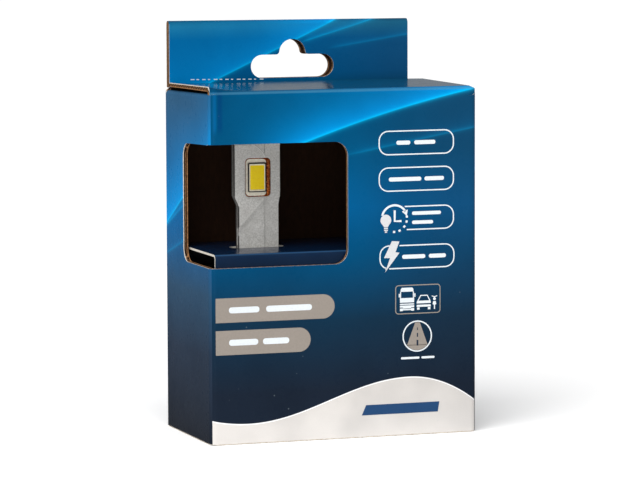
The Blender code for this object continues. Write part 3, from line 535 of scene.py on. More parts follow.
def make_finishes():
    """Every finish by its short name."""
    front_beams = (Beam(0.32, 88.6, -1.6, 6.5, 0.85, 0.75, -40.0, -8.0),
                   Beam(0.18, 80.5, 0.0, 2.0, 0.10, 0.13, -4.0, 8.0))
    left_beams = (Beam(-0.545, 70.1, 0.0, 10.0, 0.95, 0.7), Beam(-0.43, 67.2, 0.0, 2.0, 0.22, 0.25),
                  Beam(-0.30, 56.5, 0.0, 2.0, 0.12, 0.15))
    right_beams = (Beam(0.42, 84.0, 0.0, 8.0, 0.4, 0.3),)
    back_beams = (Beam(-0.30, 86.0, 0.0, 9.0, 0.6, 0.5), Beam(-0.2, 76.0, 0.0, 3.0, 0.15, 0.2))
    tab_beams = (Beam(0.46, 111.9, 0.0, 9.0, 0.72, 0.60), Beam(0.29, 110.4, 0.0, 2.5, 0.22, 0.3, 0.0, 4.0),
                 Beam(0.15, 107.4, 0.0, 2.0, 0.1, 0.12, 8.0, 14.0))
    casting = {"metallic": 0.2}
    anodised = {"bump": 0.02, "rough": (0.3, 0.42), "metallic": 0.6}
    return {
        "front": coated_print("print_front", 0, WALL_INKS, front_beams, front=True, dim=RIGHT_DIM),
        "left": coated_print("print_left", 1, SIDE_INKS_AND_SHEEN, left_beams, 0.015),
        "right": coated_print("print_right", 1, WALL_INKS, right_beams, dim=RIGHT_DIM),
        "back": coated_print("print_back", 0, WALL_INKS, back_beams),
        "tab": coated_print("print_tab", 0, TAB_INKS_AND_FOLD_SHADE, tab_beams, dim=RIGHT_DIM),
        "panel": coated_print("print_panel", 0, LID_INKS, (), 0.7, (0.15, 0.21)),
        "kraft": kraft_liner("kraft_liner"),
        # a lighter copy of the kraft for the underside of the lid and dust flaps
        "kraft_open": kraft_liner("kraft_liner_open", srgb(112, 76, 46)),
        "edge": cut_board_edge("board_edge"),
        "white": ink("ink_white", INK_WHITE),
        "grey": ink("ink_grey", INK_GREY),
        "cream": ink("ink_cream", CREAM),
        "blue": ink("ink_navy", srgb(24, 66, 110)),
        "card": glossy_card("insert_navy"),
        "card_back": ink("card_back", srgb(58, 60, 64), 0.7),
        "navy": ink("ink_dark_blue", srgb(20, 38, 58)),
        "card_edge": ink("card_cut_edge", srgb(214, 208, 196), 0.85),
        "blade": blasted_metal("blade_cast", srgb(232, 231, 227), srgb(184, 182, 177), **casting),
        # a darker copy of the blade's finish for its side faces: painted shade
        "blade_side": blasted_metal("blade_side_painted_shade", srgb(92, 90, 87), srgb(66, 64, 62), **casting),
        # a brighter copy of the finish for the raised line: painted highlight
        "blade_line": blasted_metal("blade_line_painted_highlight", srgb(246, 246, 246), srgb(226, 226, 224), **casting),
        "sink": blasted_metal("sink_anodised", srgb(150, 154, 160), srgb(112, 116, 122), **anodised),
        "collar": turned_metal("collar_turned", srgb(196, 197, 198), srgb(150, 151, 154)),
        "steel": turned_metal("screw_steel_finish", srgb(176, 176, 178), srgb(120, 120, 124), 0.24),
        "brass": turned_metal("contact_brass_finish", srgb(226, 190, 112), srgb(176, 136, 70), 0.2),
        "can": turned_metal("can_finish", srgb(200, 200, 202), srgb(160, 160, 164), 0.26),
        "copper": sintered_copper("core_copper"),
        "phosphor": phosphor_face("phosphor_yellow"),
        "led_board": white_ceramic("led_board_finish", srgb(240, 233, 216), srgb(224, 215, 195)),
        "led_frame": white_ceramic("led_frame_finish", srgb(244, 238, 214), srgb(232, 222, 190)),
        "led_gap_shade": moulded_plastic("led_gap_painted_shade", srgb(34, 26, 20), srgb(20, 15, 12)),
        "insulator": white_ceramic("insulator_finish", srgb(226, 222, 212), srgb(200, 196, 186)),
        "plastic": moulded_plastic("black_plastic_finish", srgb(44, 44, 47), srgb(32, 32, 35)),
        "chip": moulded_plastic("chip_epoxy", srgb(36, 35, 36), srgb(26, 26, 27), (0.3, 0.45)),
        "ferrite": moulded_plastic("ferrite_finish", srgb(60, 58, 60), srgb(42, 40, 42), (0.6, 0.75)),
        "wire": moulded_plastic("wire_sleeve_finish", srgb(176, 26, 20), srgb(140, 16, 14), (0.35, 0.5)),
        "wire_black": moulded_plastic("wire_black_finish", srgb(28, 28, 28), srgb(18, 18, 18), (0.35, 0.5)),
        "laminate": laminate_with_tracks("laminate_finish"),
        "rubber": soft_rubber("rubber_finish"),
    }


# ------------------------------------------------------------------ mesh helpers

def new_object(name, data):
    """A scene object for a mesh, a light or a camera."""
    obj = bpy.data.objects.new(name, data)
    bpy.context.scene.collection.objects.link(obj)
    return obj


def finish_mesh(name, bm, mats):
    """Turn a bmesh into an object with consistent normals."""
    bmesh.ops.remove_doubles(bm, verts=bm.verts, dist=1e-7)
    bmesh.ops.recalc_face_normals(bm, faces=bm.faces)
    mesh = bpy.data.meshes.new(name)
    bm.to_mesh(mesh)
    bm.free()
    for mat in mats:
        mesh.materials.append(mat)
    return new_object(name, mesh)


def place(obj, body, slot, *nodes):
    """Ride on a body and hide the CAD nodes the piece stands for; slot is not used."""
    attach(obj, body)
    if nodes:
        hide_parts(*nodes)
    return obj


def smooth(obj, degrees=32.0):
    """Shade smooth up to an angle."""
    obj.data.shade_smooth()
    obj.data.set_sharp_from_angle(angle=math.radians(degrees))
    return obj


def spread(low, high, steps):
    """Evenly spaced values, both ends included."""
    return [low + (high - low) * i / steps for i in range(steps + 1)]


def arc(centre, radius, start, end, steps):
    """Points on an arc in degrees, ends included."""
    turns = [math.radians(turn) for turn in spread(start, end, steps)]
    return [(centre[0] + radius * math.cos(t), centre[1] + radius * math.sin(t)) for t in turns]


def rounded_rectangle(low, high, radius, steps=8):
    """Anticlockwise outline of a rectangle with round corners."""
    corners = (
        ((high[0] - radius, low[1] + radius), -90), ((high[0] - radius, high[1] - radius), 0),
        ((low[0] + radius, high[1] - radius), 90), ((low[0] + radius, low[1] + radius), 180),
    )
    return [p for centre, start in corners for p in arc(centre, radius, start, start + 90, steps)]


def rectangle(left, start, right, end):
    """Outline of a rectangle, from its left corner at one height round to the other height."""
    return [(left, start), (right, start), (right, end), (left, end)]


def in_axes(point, depth, axis):
    """A drawn point as a 3-D place: drawn on the plane across an axis."""
    u, v = point
    return {"X": (depth, u, v), "Y": (u, depth, v), "Z": (u, v, depth)}[axis]


def add_prism(bm, outline, low, high, axis="Z", material=0):
    """A closed prism from an outline between two depths."""
    rings = [[bm.verts.new(in_axes(p, depth, axis)) for p in outline] for depth in (low, high)]
    faces = [bm.faces.new(rings[0]), bm.faces.new(rings[1])]
    for i in range(len(outline)):
        j = (i + 1) % len(outline)
        faces.append(bm.faces.new((rings[0][i], rings[0][j], rings[1][j], rings[1][i])))
    for face in faces:
        face.material_index = material
    return faces


def add_ring(bm, outer, inner, low, high, axis="Z", material=0):
    """A closed ring prism between two outlines with the same number of points."""
    count = len(outer)
    layers = []
    for depth in (low, high):
        for line in (outer, inner):
            layers.append([bm.verts.new(in_axes(p, depth, axis)) for p in line])
    low_out, low_in, high_out, high_in = layers
    for i in range(count):
        j = (i + 1) % count
        for a, b in ((low_out, low_in), (high_out, high_in), (low_out, high_out), (low_in, high_in)):
            bm.faces.new((a[i], a[j], b[j], b[i])).material_index = material


def add_sheet(bm, rows, material=0, closed=False):
    """Faces over a grid of points; closed joins the last column to the first."""
    verts = [[bm.verts.new(p) for p in row] for row in rows]
    for a, b in zip(verts, verts[1:]):
        count = len(a)
        for i in range(count if closed else count - 1):
            j = (i + 1) % count
            bm.faces.new((a[i], a[j], b[j], b[i])).material_index = material
    return verts


def add_tube(bm, rings, material=0):
    """A tube through rings of points, closed at both ends."""
    verts = add_sheet(bm, rings, material, closed=True)
    for ring in (verts[0], verts[-1]):
        bm.faces.new(ring).material_index = material


def join_lines(bm, one, other):
    """Faces between two lines of vertices."""
    for i in range(len(one) - 1):
        bm.faces.new((one[i], one[i + 1], other[i + 1], other[i]))


def copy_onto(bm, verts, y):
    """New vertices level with others, on the plane at y."""
    return [bm.verts.new((vert.co.x, y, vert.co.z)) for vert in verts]


def cut_with(obj, *cutters):
    """Subtract closed cutters, then remove them."""
    for cutter in cutters:
        change = obj.modifiers.new("cut", "BOOLEAN")
        change.operation = "DIFFERENCE"
        change.solver = "EXACT"
        change.object = cutter
    graph = bpy.context.evaluated_depsgraph_get()
    made = bpy.data.meshes.new_from_object(obj.evaluated_get(graph))
    obj.modifiers.clear()
    old = obj.data
    obj.data = made
    bpy.data.meshes.remove(old)
    for cutter in cutters:
        bpy.data.objects.remove(cutter, do_unlink=True)
    return obj


def cutter(outline, low, high, axis):
    """A temporary prism to cut with."""
    bm = bmesh.new()
    add_prism(bm, outline, low, high, axis)
    return finish_mesh("cutter", bm, ())


def held(value, low=0.0, high=1.0):
    """A value kept between two ends."""
    return min(max(value, low), high)


def ease(value, low, high):
    """Smooth step from 0 at low to 1 at high."""
    share = held((value - low) / (high - low))
    return share * share * (3 - 2 * share)


# ------------------------------------------------------------------ carton

FOLD_STEPS = 8                      # stretches that each vertical fold is drawn in


def perimeter(inset):
    """Rounded rectangle of the carton in plan at an inset, starting at the front left fold."""
    radius = max(FOLD_R - inset, 0.3 * MM)
    half_w = HALF_W - inset
    half_d = HALF_D - inset
    corners = (
        ((-half_w + radius, -half_d + radius), 180), ((half_w - radius, -half_d + radius), 270),
        ((half_w - radius, half_d - radius), 0), ((-half_w + radius, half_d - radius), 90),
    )
    return [p for centre, start in corners for p in arc(centre, radius, start, start + 90, FOLD_STEPS)]


def carton_depth(point):
    """How deep a point lies in the carton's wall, 0 outside and 1 at the inner liner."""
    over_x = abs(point.x) - (HALF_W - FOLD_R)
    over_y = abs(point.y) - (HALF_D - FOLD_R)
    outside = math.hypot(max(over_x, 0), max(over_y, 0)) + min(max(over_x, over_y), 0)
    return held((FOLD_R - outside) / BOARD)


LID_SKINS = ("panel", "kraft_open", "edge")


def plain_skin(kind, face):
    """Material index on a board whose finishes are its outer, inner and cut faces."""
    return ("outer", "inner", "edge").index(kind)


def pick(mats, keys):
    """The finishes with these short names."""
    return [mats[key] for key in keys]


def dress_board(obj, depth_of, skin_of=plain_skin):
    """Give each face of a board its liner or cut-edge finish, and each point its depth."""
    mesh = obj.data
    depth = mesh.attributes.new("depth", "FLOAT", "POINT")
    values = [depth_of(vert.co) for vert in mesh.vertices]
    depth.data.foreach_set("value", values)
    for face in mesh.polygons:
        deep = [values[i] for i in face.vertices]
        kind = "edge"
        if max(deep) < 0.12:
            kind = "outer"
        elif min(deep) > 0.88:
            kind = "inner"
        face.material_index = skin_of(kind, face)
    return obj


CARTON_SKINS = ("front", "left", "right", "back", "kraft", "edge", "panel")


def carton_skin(kind, face):
    """Material index of a carton wall's face."""
    if kind != "outer":
        return CARTON_SKINS.index("edge" if kind == "edge" else "kraft")
    normal = face.normal
    if abs(normal.y) >= abs(normal.x):
        return 0 if normal.y < 0 else 3
    return 1 if normal.x < 0 else 2


# Heights of the walls' tops at the folds, under the lid and the flaps
LEFT_CORNER_TOPS = (98.3 * MM, 98.8 * MM)
RIGHT_CORNER_TOP = 97.6 * MM
REAR_CORNER_TOP = 97.3 * MM


def wall_columns():
    """Plan points of the walls, outside and inside, each with its top height."""
    outer = perimeter(0.0)
    inner = perimeter(BOARD)
    rear = TOP - WALL_DROP
    front = FRONT_TOP - WALL_DROP
    side = SIDE_TOP - WALL_DROP
    # for each fold: the wall before it, its own two ends, the wall after it
    heights = (
        (side, *LEFT_CORNER_TOPS, front), (front, front, RIGHT_CORNER_TOP, side),
        (side, REAR_CORNER_TOP, rear, rear), (rear, rear, REAR_CORNER_TOP, side),
    )
    beside = 0.12 * MM
    per_fold = FOLD_STEPS + 1
    columns = []
    for fold, (before, low, high, after) in enumerate(heights):
        at = fold * per_fold
        first, last = Vector(outer[at]), Vector(outer[at + FOLD_STEPS])
        shift = (Vector(outer[at - 1]) - first).normalized() * beside
        columns.append((first + shift, Vector(inner[at]) + shift, before))
        for i in range(per_fold):
            top = (low * (FOLD_STEPS - i) + high * i) / FOLD_STEPS
            columns.append((Vector(outer[at + i]), Vector(inner[at + i]), top))
        shift = (Vector(outer[(at + per_fold) % len(outer)]) - last).normalized() * beside
        columns.append((last + shift, Vector(inner[at + FOLD_STEPS]) + shift, after))
    return columns


WINDOW_SLANT = 0.04                 # fall of the window's top edge along the side wall


def make_carton_walls(mats):
    """Four walls folded round with soft vertical folds, and the wrapped window cut out."""
    bm = bmesh.new()
    columns = wall_columns()
    levels = 24
    foot = 0.35 * MM
    foot_x, foot_y = 0.9925, 0.986      # the rounded foot's share of the carton's width and depth
    rows = [[(out.x * foot_x, out.y * foot_y, 0.0) for out, _, _ in columns]]
    for i in range(levels + 1):
        rows.append([(out.x, out.y, foot + (top - foot) * i / levels) for out, _, top in columns])
    for i in range(levels, -1, -1):
        rows.append([(into.x, into.y, BOARD + (top - BOARD) * i / levels) for _, into, top in columns])
    add_sheet(bm, rows + [rows[0]], closed=True)
    walls = finish_mesh("carton_walls", bm, pick(mats, CARTON_SKINS))
    beyond = 6 * MM
    front = rounded_rectangle((-HALF_W - beyond, WINDOW_LOW), (WINDOW_RIGHT, WINDOW_HIGH), WINDOW_R, 12)
    side = rounded_rectangle((-HALF_D - beyond, WINDOW_LOW), (WINDOW_REAR, WINDOW_HIGH), WINDOW_R, 12)
    middle = (WINDOW_LOW + WINDOW_HIGH) / 2
    side = [(y, z - WINDOW_SLANT * max(y - FRONT, 0.0) if z > middle else z) for y, z in side]
    cut_with(walls, cutter(front, -HALF_D - beyond, -HALF_D + BOARD + MM, "Y"),
             cutter(side, -HALF_W - beyond, -HALF_W + BOARD + MM, "X"))
    dress_board(walls, carton_depth, carton_skin)
    smooth(walls, 40)
    return place(walls, "carton", "printed_board", "carton_body")


def make_carton_floor(mats):
    """Bottom panel with rounded folds, over two glued inner flaps."""
    bm = bmesh.new()
    inset = 0.45 * MM
    outline = [(x * (1 - inset / HALF_W), y * (1 - inset / HALF_D)) for x, y in perimeter(0.0)]
    add_prism(bm, outline, 0.0, BOARD * 0.98)
    floor = finish_mesh("carton_floor", bm, [mats["panel"], mats["kraft"]])
    for face in floor.data.polygons:
        face.material_index = 1 if face.normal.z > 0.5 else 0
    return place(floor, "carton", "printed_board")


def make_board_sheet(name, outline, low, high, mats):
    """A dust flap's board lying level: printed above, kraft below, cut at its edges."""
    bm = bmesh.new()
    add_prism(bm, outline, low, high)
    sheet = finish_mesh(name + "_board", bm, pick(mats, LID_SKINS))
    dress_board(sheet, lambda point: (high - point.z) / (high - low))
    return place(sheet, name, "printed_board", name)


LID_SPRING = 1.5 * MM               # how far the lid's left end stands up
LID_FLAT = 24 * MM                  # left of the middle, where it starts to rise
LID_BEND = 16 * MM                  # from there to its end
LID_BULGE = 0.3 * MM
LID_ROUND = 1.6 * MM                # radius of its rounded right end
LID_CRUSH = 0.45                    # share of the board's thickness lost where it is sprung up


def lid_lift(x, y):
    """How far the worn lid stands off its flat place: sprung up at the left, rounded over at the right."""
    reach = held((-x - LID_FLAT) / LID_BEND)
    forward = held((HALF_D - y) / (2 * HALF_D))
    sprung = LID_SPRING * reach ** 3 * (0.35 + 0.65 * forward)
    bulge = LID_BULGE * (1 - (x / HALF_W) ** 2) * (1 - forward)
    over = min(max(x - HALF_W + LID_ROUND, 0.0), 0.95 * LID_ROUND)
    return sprung + bulge - LID_ROUND + math.sqrt(LID_ROUND ** 2 - over ** 2)


def lid_crush(lift, y):
    """How far the sprung lid's underside is pressed into the board, most at the rear."""
    return LID_CRUSH * BOARD * max(lift, 0.0) / LID_SPRING * (1 - (HALF_D - y) / (2 * HALF_D))


def make_lid(mats):
    """Top panel: print above, brown liner below, flutes at its cut ends, sprung up at the left."""
    half = HALF_W - 0.15 * MM
    rear = PANEL_HIGH.y
    near = FRONT + CREASE_RUN
    across = spread(-half, half, 60)
    along = spread(near, rear, 24)
    bm = bmesh.new()
    corner = 1.2 * MM
    sheets = []
    for on_top in (True, False):
        rows = []
        for y in along:
            inset = corner - math.sqrt(max(corner ** 2 - max(y - rear + corner, 0.0) ** 2, 0.0))
            row = []
            for x in across:
                x *= (half - inset) / half
                lift = lid_lift(x, y)
                z = PANEL_HIGH.z + lift if on_top else PANEL_LOW.z + lift + lid_crush(lift, y)
                row.append((x, y, z))
            rows.append(row)
        sheets.append(add_sheet(bm, rows))
    top, bottom = sheets
    for upper, lower in ((top[0], bottom[0]), (top[-1], bottom[-1]),
                         ([r[0] for r in top], [r[0] for r in bottom]),
                         ([r[-1] for r in top], [r[-1] for r in bottom])):
        join_lines(bm, upper, lower)
    lid = finish_mesh("lid_panel", bm, pick(mats, LID_SKINS))

    def depth_of(point):
        return 0.0 if point.z > PANEL_HIGH.z + lid_lift(point.x, point.y) - 0.3 * BOARD else 1.0

    dress_board(lid, depth_of)
    smooth(lid, 40)
    return place(lid, "top_panel", "printed_board", "top_panel")


def make_flaps(mats):
    """The two short dust flaps under the lid."""
    for name, side in (("dust_flap_left", -1), ("dust_flap_right", 1)):
        low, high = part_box(name)
        near = side * (HALF_W - CREASE_RUN)
        tip = low.x if side > 0 else high.x
        front = low.y + CREASE_RUN
        outline = [(near, front), (near, high.y), (tip, high.y), (tip, front + abs(near - tip))]
        make_board_sheet(name, outline, low.z, high.z, mats)


def bent_skin(name, outer, inner, axis, span, mats, skins, shape=None, extra=()):
    """Board bent over a crease."""
    bm = bmesh.new()
    loop = outer + inner[::-1]
    stops = sorted(spread(*span, 60) + list(extra))
    rows = []
    tree = KDTree(len(stops) * len(loop))
    for turn, stop in enumerate(stops):
        row = []
        for index, p in enumerate(loop):
            point = in_axes(p, stop, axis)
            point = shape(*point) if shape else point
            tree.insert(point, turn * len(loop) + index)
            row.append(point)
        rows.append(row)
    tree.balance()
    add_tube(bm, rows)
    strip = finish_mesh(name, bm, pick(mats, skins))

    def depth_of(point):
        return 0.0 if tree.find(point)[1] % len(loop) < len(outer) else 1.0

    dress_board(strip, depth_of)
    smooth(strip, 50)
    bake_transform(strip)
    return strip


def make_lid_crease(mats):
    """Soft front crease; its ends follow the round corners of the walls."""
    round_r = BOARD + 0.3 * MM
    inner_r = 0.3 * MM
    low = FRONT_TOP - WALL_DROP
    centre = (FRONT + round_r, TOP - round_r)
    outer = [(FRONT, low)] + arc(centre, round_r, 180, 90, 8) + [(FRONT + CREASE_RUN, TOP)]
    inner = [(FRONT + BOARD, low)] + arc(centre, inner_r, 180, 90, 8) + [(FRONT + CREASE_RUN, TOP - BOARD)]
    flat_half = HALF_W - FOLD_R

    def shape(x, y, z):
        over = min(max(abs(x) - flat_half, 0.0), 0.999 * FOLD_R)
        round_share = math.asin(over / FOLD_R) / math.radians(90)
        side_end, front_end = LEFT_CORNER_TOPS if x < 0 else (RIGHT_CORNER_TOP, low)
        foot = low if over == 0 else front_end + (side_end - front_end) * round_share
        z = max(z, foot)
        y = max(y, FRONT + FOLD_R - math.sqrt(FOLD_R ** 2 - over ** 2))
        rise = held((z - foot) / (TOP - foot))
        return x, y, z + lid_lift(x, y) * rise

    half = HALF_W - 0.35 * MM
    bent_skin("crease_lid", outer, inner, "X", (-half, half), mats, ("front", "kraft", "edge"),
              shape,
              (-flat_half - 0.02 * MM, 0.1 * MM - flat_half))


def make_flap_creases(mats):
    """Creases between the side walls and the dust flaps, higher towards the front."""
    round_r = 1.1 * MM
    flap_top = FLAP_HIGH.z
    for side, key in ((-1, "left"), (1, "right")):
        wall = side * HALF_W
        centre = (wall - side * round_r, flap_top - round_r)
        turn = (180, 90) if side < 0 else (0, 90)
        low = SIDE_TOP - WALL_DROP
        outer = [(wall, low)] + arc(centre, round_r, *turn, 8) + [(wall - side * CREASE_RUN, flap_top)]
        inner = [(wall - side * BOARD, low), (wall - side * BOARD, flap_top - BOARD)]
        inner += [(wall - side * (BOARD + 0.05 * MM * i), flap_top - BOARD) for i in range(1, 8)]
        inner += [(wall - side * CREASE_RUN, flap_top - BOARD)]
        span = (FRONT + FOLD_R, HALF_D - FOLD_R)
        peak = 1.1 * MM if side < 0 else 0.3 * MM

        def shape(x, y, z, wall=wall, low=low, peak=peak):
            forward = (HALF_D - y) / (2 * HALF_D)
            near = 1 - min(abs(x - wall) / CREASE_RUN, 1.0)
            rise = held((z - low) / (flap_top - low))
            return x, y, z + peak * forward * ease(near, 0.0, 0.6) * rise

        bent_skin("crease_flap_" + key, outer, inner, "Y", span, mats, (key, "kraft", "edge"),
                  shape)


def make_tab_crease(mats):
    """The rear wall's skin running up into the hang tab."""
    rear = HALF_D
    heights = spread(TOP - WALL_DROP, TAB_FOOT, 10)
    outer = [(rear, z) for z in heights]
    inner = [(rear - BOARD, z) for z in heights]
    bent_skin("crease_tab", outer, inner, "X", (TAB_LOW.x, TAB_HIGH.x), mats, ("back", "kraft", "edge"))


def slot_outline(shift=0.0, steps=14):
    """Euro slot: a flat slot with a round hump on top, joined by small fillets."""
    reach = SLOT_HALF - SLOT_R
    middle = SLOT_X + shift
    edge = SLOT_Z + SLOT_R
    both = HUMP_R + HUMP_FILLET
    out = math.sqrt(both ** 2 - (HUMP_UP - HUMP_FILLET) ** 2)
    lean = math.degrees(math.atan2(HUMP_FILLET - HUMP_UP, out))
    line = arc((middle + reach, SLOT_Z), SLOT_R, -90, 90, steps)
    line += arc((middle + out, edge + HUMP_FILLET), HUMP_FILLET, 270, 180 + lean, 5)
    line += arc((middle, edge + HUMP_UP), HUMP_R, lean, 180 - lean, steps)[1:-1]
    line += arc((middle - out, edge + HUMP_FILLET), HUMP_FILLET, -lean, -90, 5)
    line += arc((middle - reach, SLOT_Z), SLOT_R, 90, 270, steps)
    return line


def tab_droop(x, z):
    """How far the tab's top edge falls away towards its right end."""
    across = (x - TAB_LOW.x) / (TAB_HIGH.x - TAB_LOW.x)
    return 0.4 * MM * across * ease(z, TAB_FOOT, TAB_HIGH.z)


def make_tab(mats):
    """Hang tab: one sheet folded over at the top, glued to itself, with a euro slot."""
    front, rear = TAB_LOW.y, TAB_HIGH.y
    middle = (front + rear) / 2
    top = TAB_HIGH.z
    seam = 0.03 * MM
    fold = arc((middle, top - BOARD), BOARD, 90, 180, 8)
    front_layer = [(front, TAB_LOW.z), (middle - seam, TAB_LOW.z), (middle - seam, top)] + fold[1:]
    fold = arc((middle, top - BOARD), BOARD, 0, 90, 8)
    rear_layer = [(rear, TAB_FOOT)] + fold[:-1] + [(middle + seam, top), (middle + seam, TAB_FOOT)]
    for name, outline, side in (("tab_front", front_layer, -1), ("tab_rear", rear_layer, 1)):
        bm = bmesh.new()
        add_prism(bm, outline, TAB_LOW.x, TAB_HIGH.x, "X")
        layer = finish_mesh(name, bm, pick(mats, ("tab", "kraft", "edge", "back")))
        shift = -0.9 * MM if side > 0 else 0.0
        cut_with(layer, cutter(slot_outline(shift), front - MM, rear + MM, "Y"))

        def depth_of(point, side=side):
            return min(abs(point.y - (middle + side * BOARD)) / BOARD, 1.0)

        skin = {"outer": 0 if side < 0 else 3, "inner": 1, "edge": 2}

        def skin_of(kind, face, skin=skin):
            on_fold = abs(face.normal.x) < 0.5 and face.center.z > top - 2 * BOARD
            off_seam = abs(face.center.y - middle) > seam * 2
            return skin["outer"] if on_fold and off_seam else skin[kind]

        dress_board(layer, depth_of, skin_of)
        for vert in layer.data.vertices:
            vert.co.z -= tab_droop(vert.co.x, vert.co.z)
        smooth(layer, 35)
        place(layer, "hang_tab", "printed_board", *(["hang_tab"] if side < 0 else []))


PERFORATION_DASHES = (1.15, 0.8, 1.0, 0.6)      # mm long, in turn
PERFORATION_COUNT = 13
PERFORATION_LEFT = -32.8
PERFORATION_PITCH = 1.75
PERFORATION_LEVEL = 100.5
PERFORATION_FALL = 0.014                        # per mm across


def make_perforation(mats):
    """White dashes of the torn perforation along the tab's foot."""
    front = TAB_LOW.y
    bm = bmesh.new()
    for i in range(PERFORATION_COUNT):
        left = (PERFORATION_LEFT + PERFORATION_PITCH * i) * MM
        right = left + PERFORATION_DASHES[i % len(PERFORATION_DASHES)] * MM
        level = (PERFORATION_LEVEL - PERFORATION_FALL * PERFORATION_PITCH * i) * MM
        dash = [(left, level), (right, level - 0.02 * MM)]
        dash += [(right, level + 0.22 * MM), (left, level + 0.25 * MM)]
        add_prism(bm, dash, front - INK_LIFT, front + INK_LIFT / 2, "Y")
    dashes = finish_mesh("tab_perforation", bm, [mats["white"]])
    place(dashes, "hang_tab", "printed_board")


HOLE_HALF_W = 8.0 * MM              # the insert's hole, which the blade stands in
HOLE_HALF_D = 3.0 * MM
INSERT_BEND = 1.3 * MM


def make_insert(mats):
    """Inverted U of card with soft bends and a slotted hole for the blade."""
    low = INSERT_LOW.z
    bend = INSERT_BEND
    front, rear, top = INSERT_LOW.y, INSERT_HIGH.y, SHELF
    outer = [(front, low)] + arc((front + bend, top - bend), bend, 180, 90, 8)
    outer += arc((rear - bend, top - bend), bend, 90, 0, 8) + [(rear, low)]
    inner = [(front + CARD, low)] + arc((front + bend, top - bend), bend - CARD, 180, 90, 8)
    inner += arc((rear - bend, top - bend), bend - CARD, 90, 0, 8) + [(rear - CARD, low)]
    bm = bmesh.new()
    loop = outer + inner[::-1]
    add_tube(bm, [[in_axes(p, x, "X") for p in loop] for x in spread(INSERT_LOW.x, INSERT_HIGH.x, 30)])
    insert = finish_mesh("insert_sleeve", bm, pick(mats, ("card", "card_back", "card_edge")))
    hole_low = (BULB_X - HOLE_HALF_W, BULB_Y - HOLE_HALF_D)
    hole_high = (BULB_X + HOLE_HALF_W, BULB_Y + HOLE_HALF_D)
    hole = rounded_rectangle(hole_low, hole_high, HOLE_HALF_D * 0.99, 16)
    cut_with(insert, cutter(hole, top - MM, top + MM, "Z"))

    def depth_of(point):
        across = min(point.y - front, rear - point.y)
        down = top - point.z
        if across < bend and down < bend:
            reach = bend - math.hypot(bend - across, bend - down)
        else:
            reach = min(across, down)
        return held(reach / CARD)

    dress_board(insert, depth_of)
    smooth(insert, 40)
    return place(insert, "insert", "insert_card", "card_insert")


# ------------------------------------------------------------------ printed marks

def add_stroke(bm, points, width, near, far, closed=False, material=0):
    """A flat line of ink along a path on the front."""
    count = len(points)
    left, right = [], []
    for i, point in enumerate(points):
        before = points[(i - 1) % count] if closed or i > 0 else point
        after = points[(i + 1) % count] if closed or i < count - 1 else point
        run = Vector((after[0] - before[0], after[1] - before[1])).normalized()
        side = Vector((-run.y, run.x)) * width / 2
        left.append((point[0] + side.x, point[1] + side.y))
        right.append((point[0] - side.x, point[1] - side.y))
    if closed:
        add_ring(bm, left, right, near, far, "Y", material)
        return
    rows = [[in_axes(l, near, "Y"), in_axes(r, near, "Y"), in_axes(r, far, "Y"), in_axes(l, far, "Y")]
            for l, r in zip(left, right)]
    add_tube(bm, rows, material)


def front_mark(name, shapes, mats, keys):
    """A printed mark on the carton's front. Shapes are in mm: (kind, material, data)."""
    bm = bmesh.new()
    near, far = FRONT - INK_LIFT, FRONT + INK_LIFT / 2
    for kind, material, *data in shapes:
        points = [(x * MM, z * MM) for x, z in data[0]]
        if kind == "fill":
            add_prism(bm, points, near, far, "Y", material)
        elif kind == "lift":
            add_prism(bm, points, near - INK_LIFT / 2, far, "Y", material)
        else:
            add_stroke(bm, points, data[1] * MM, near, far, kind == "loop", material)
    mark = finish_mesh(name, bm, pick(mats, keys))
    return place(mark, "carton", "printed_board")


def bar(x, z, long, thick):
    """A plain rounded bar, standing in for a word."""
    return rounded_rectangle((x, z - thick / 2), (x + long, z + thick / 2), thick * 0.45, 4)


LABEL_KEYS = ("white", "cream")
LABEL_LINE = 0.34                   # mm, as are all the places of the printed marks
LABEL_LEFT, LABEL_RIGHT = 10.3, 32.8
LABEL_R = 2.7


def label_right_end(low, high, right=LABEL_RIGHT):
    """The round right end of a label's outline, from its top to its bottom."""
    turn = right - LABEL_R
    return arc((turn, high - LABEL_R), LABEL_R, 90, 0, 10) + arc((turn, low + LABEL_R), LABEL_R, 0, -90, 10)


def fills(*outlines, kind="fill", material=0):
    """Flat shapes of ink from outlines."""
    return [(kind, material, outline) for outline in outlines]


def make_plain_labels(mats):
    """Two outlined labels with plain bars for their words."""
    rows = ((80.45, 87.1, ((15.5, 4.2), (20.9, 6.4))), (70.1, 76.7, ((13.2, 9.8), (24.0, 5.9))))
    for index, (low, high, bars) in enumerate(rows):
        ring = rounded_rectangle((LABEL_LEFT, low), (LABEL_RIGHT, high), LABEL_R, 10)
        words = fills(*(bar(x, (low + high) / 2, long, 1.15) for x, long in bars))
        front_mark(f"label_outline_{index + 1}", [("loop", 0, ring, LABEL_LINE)] + words, mats, LABEL_KEYS)


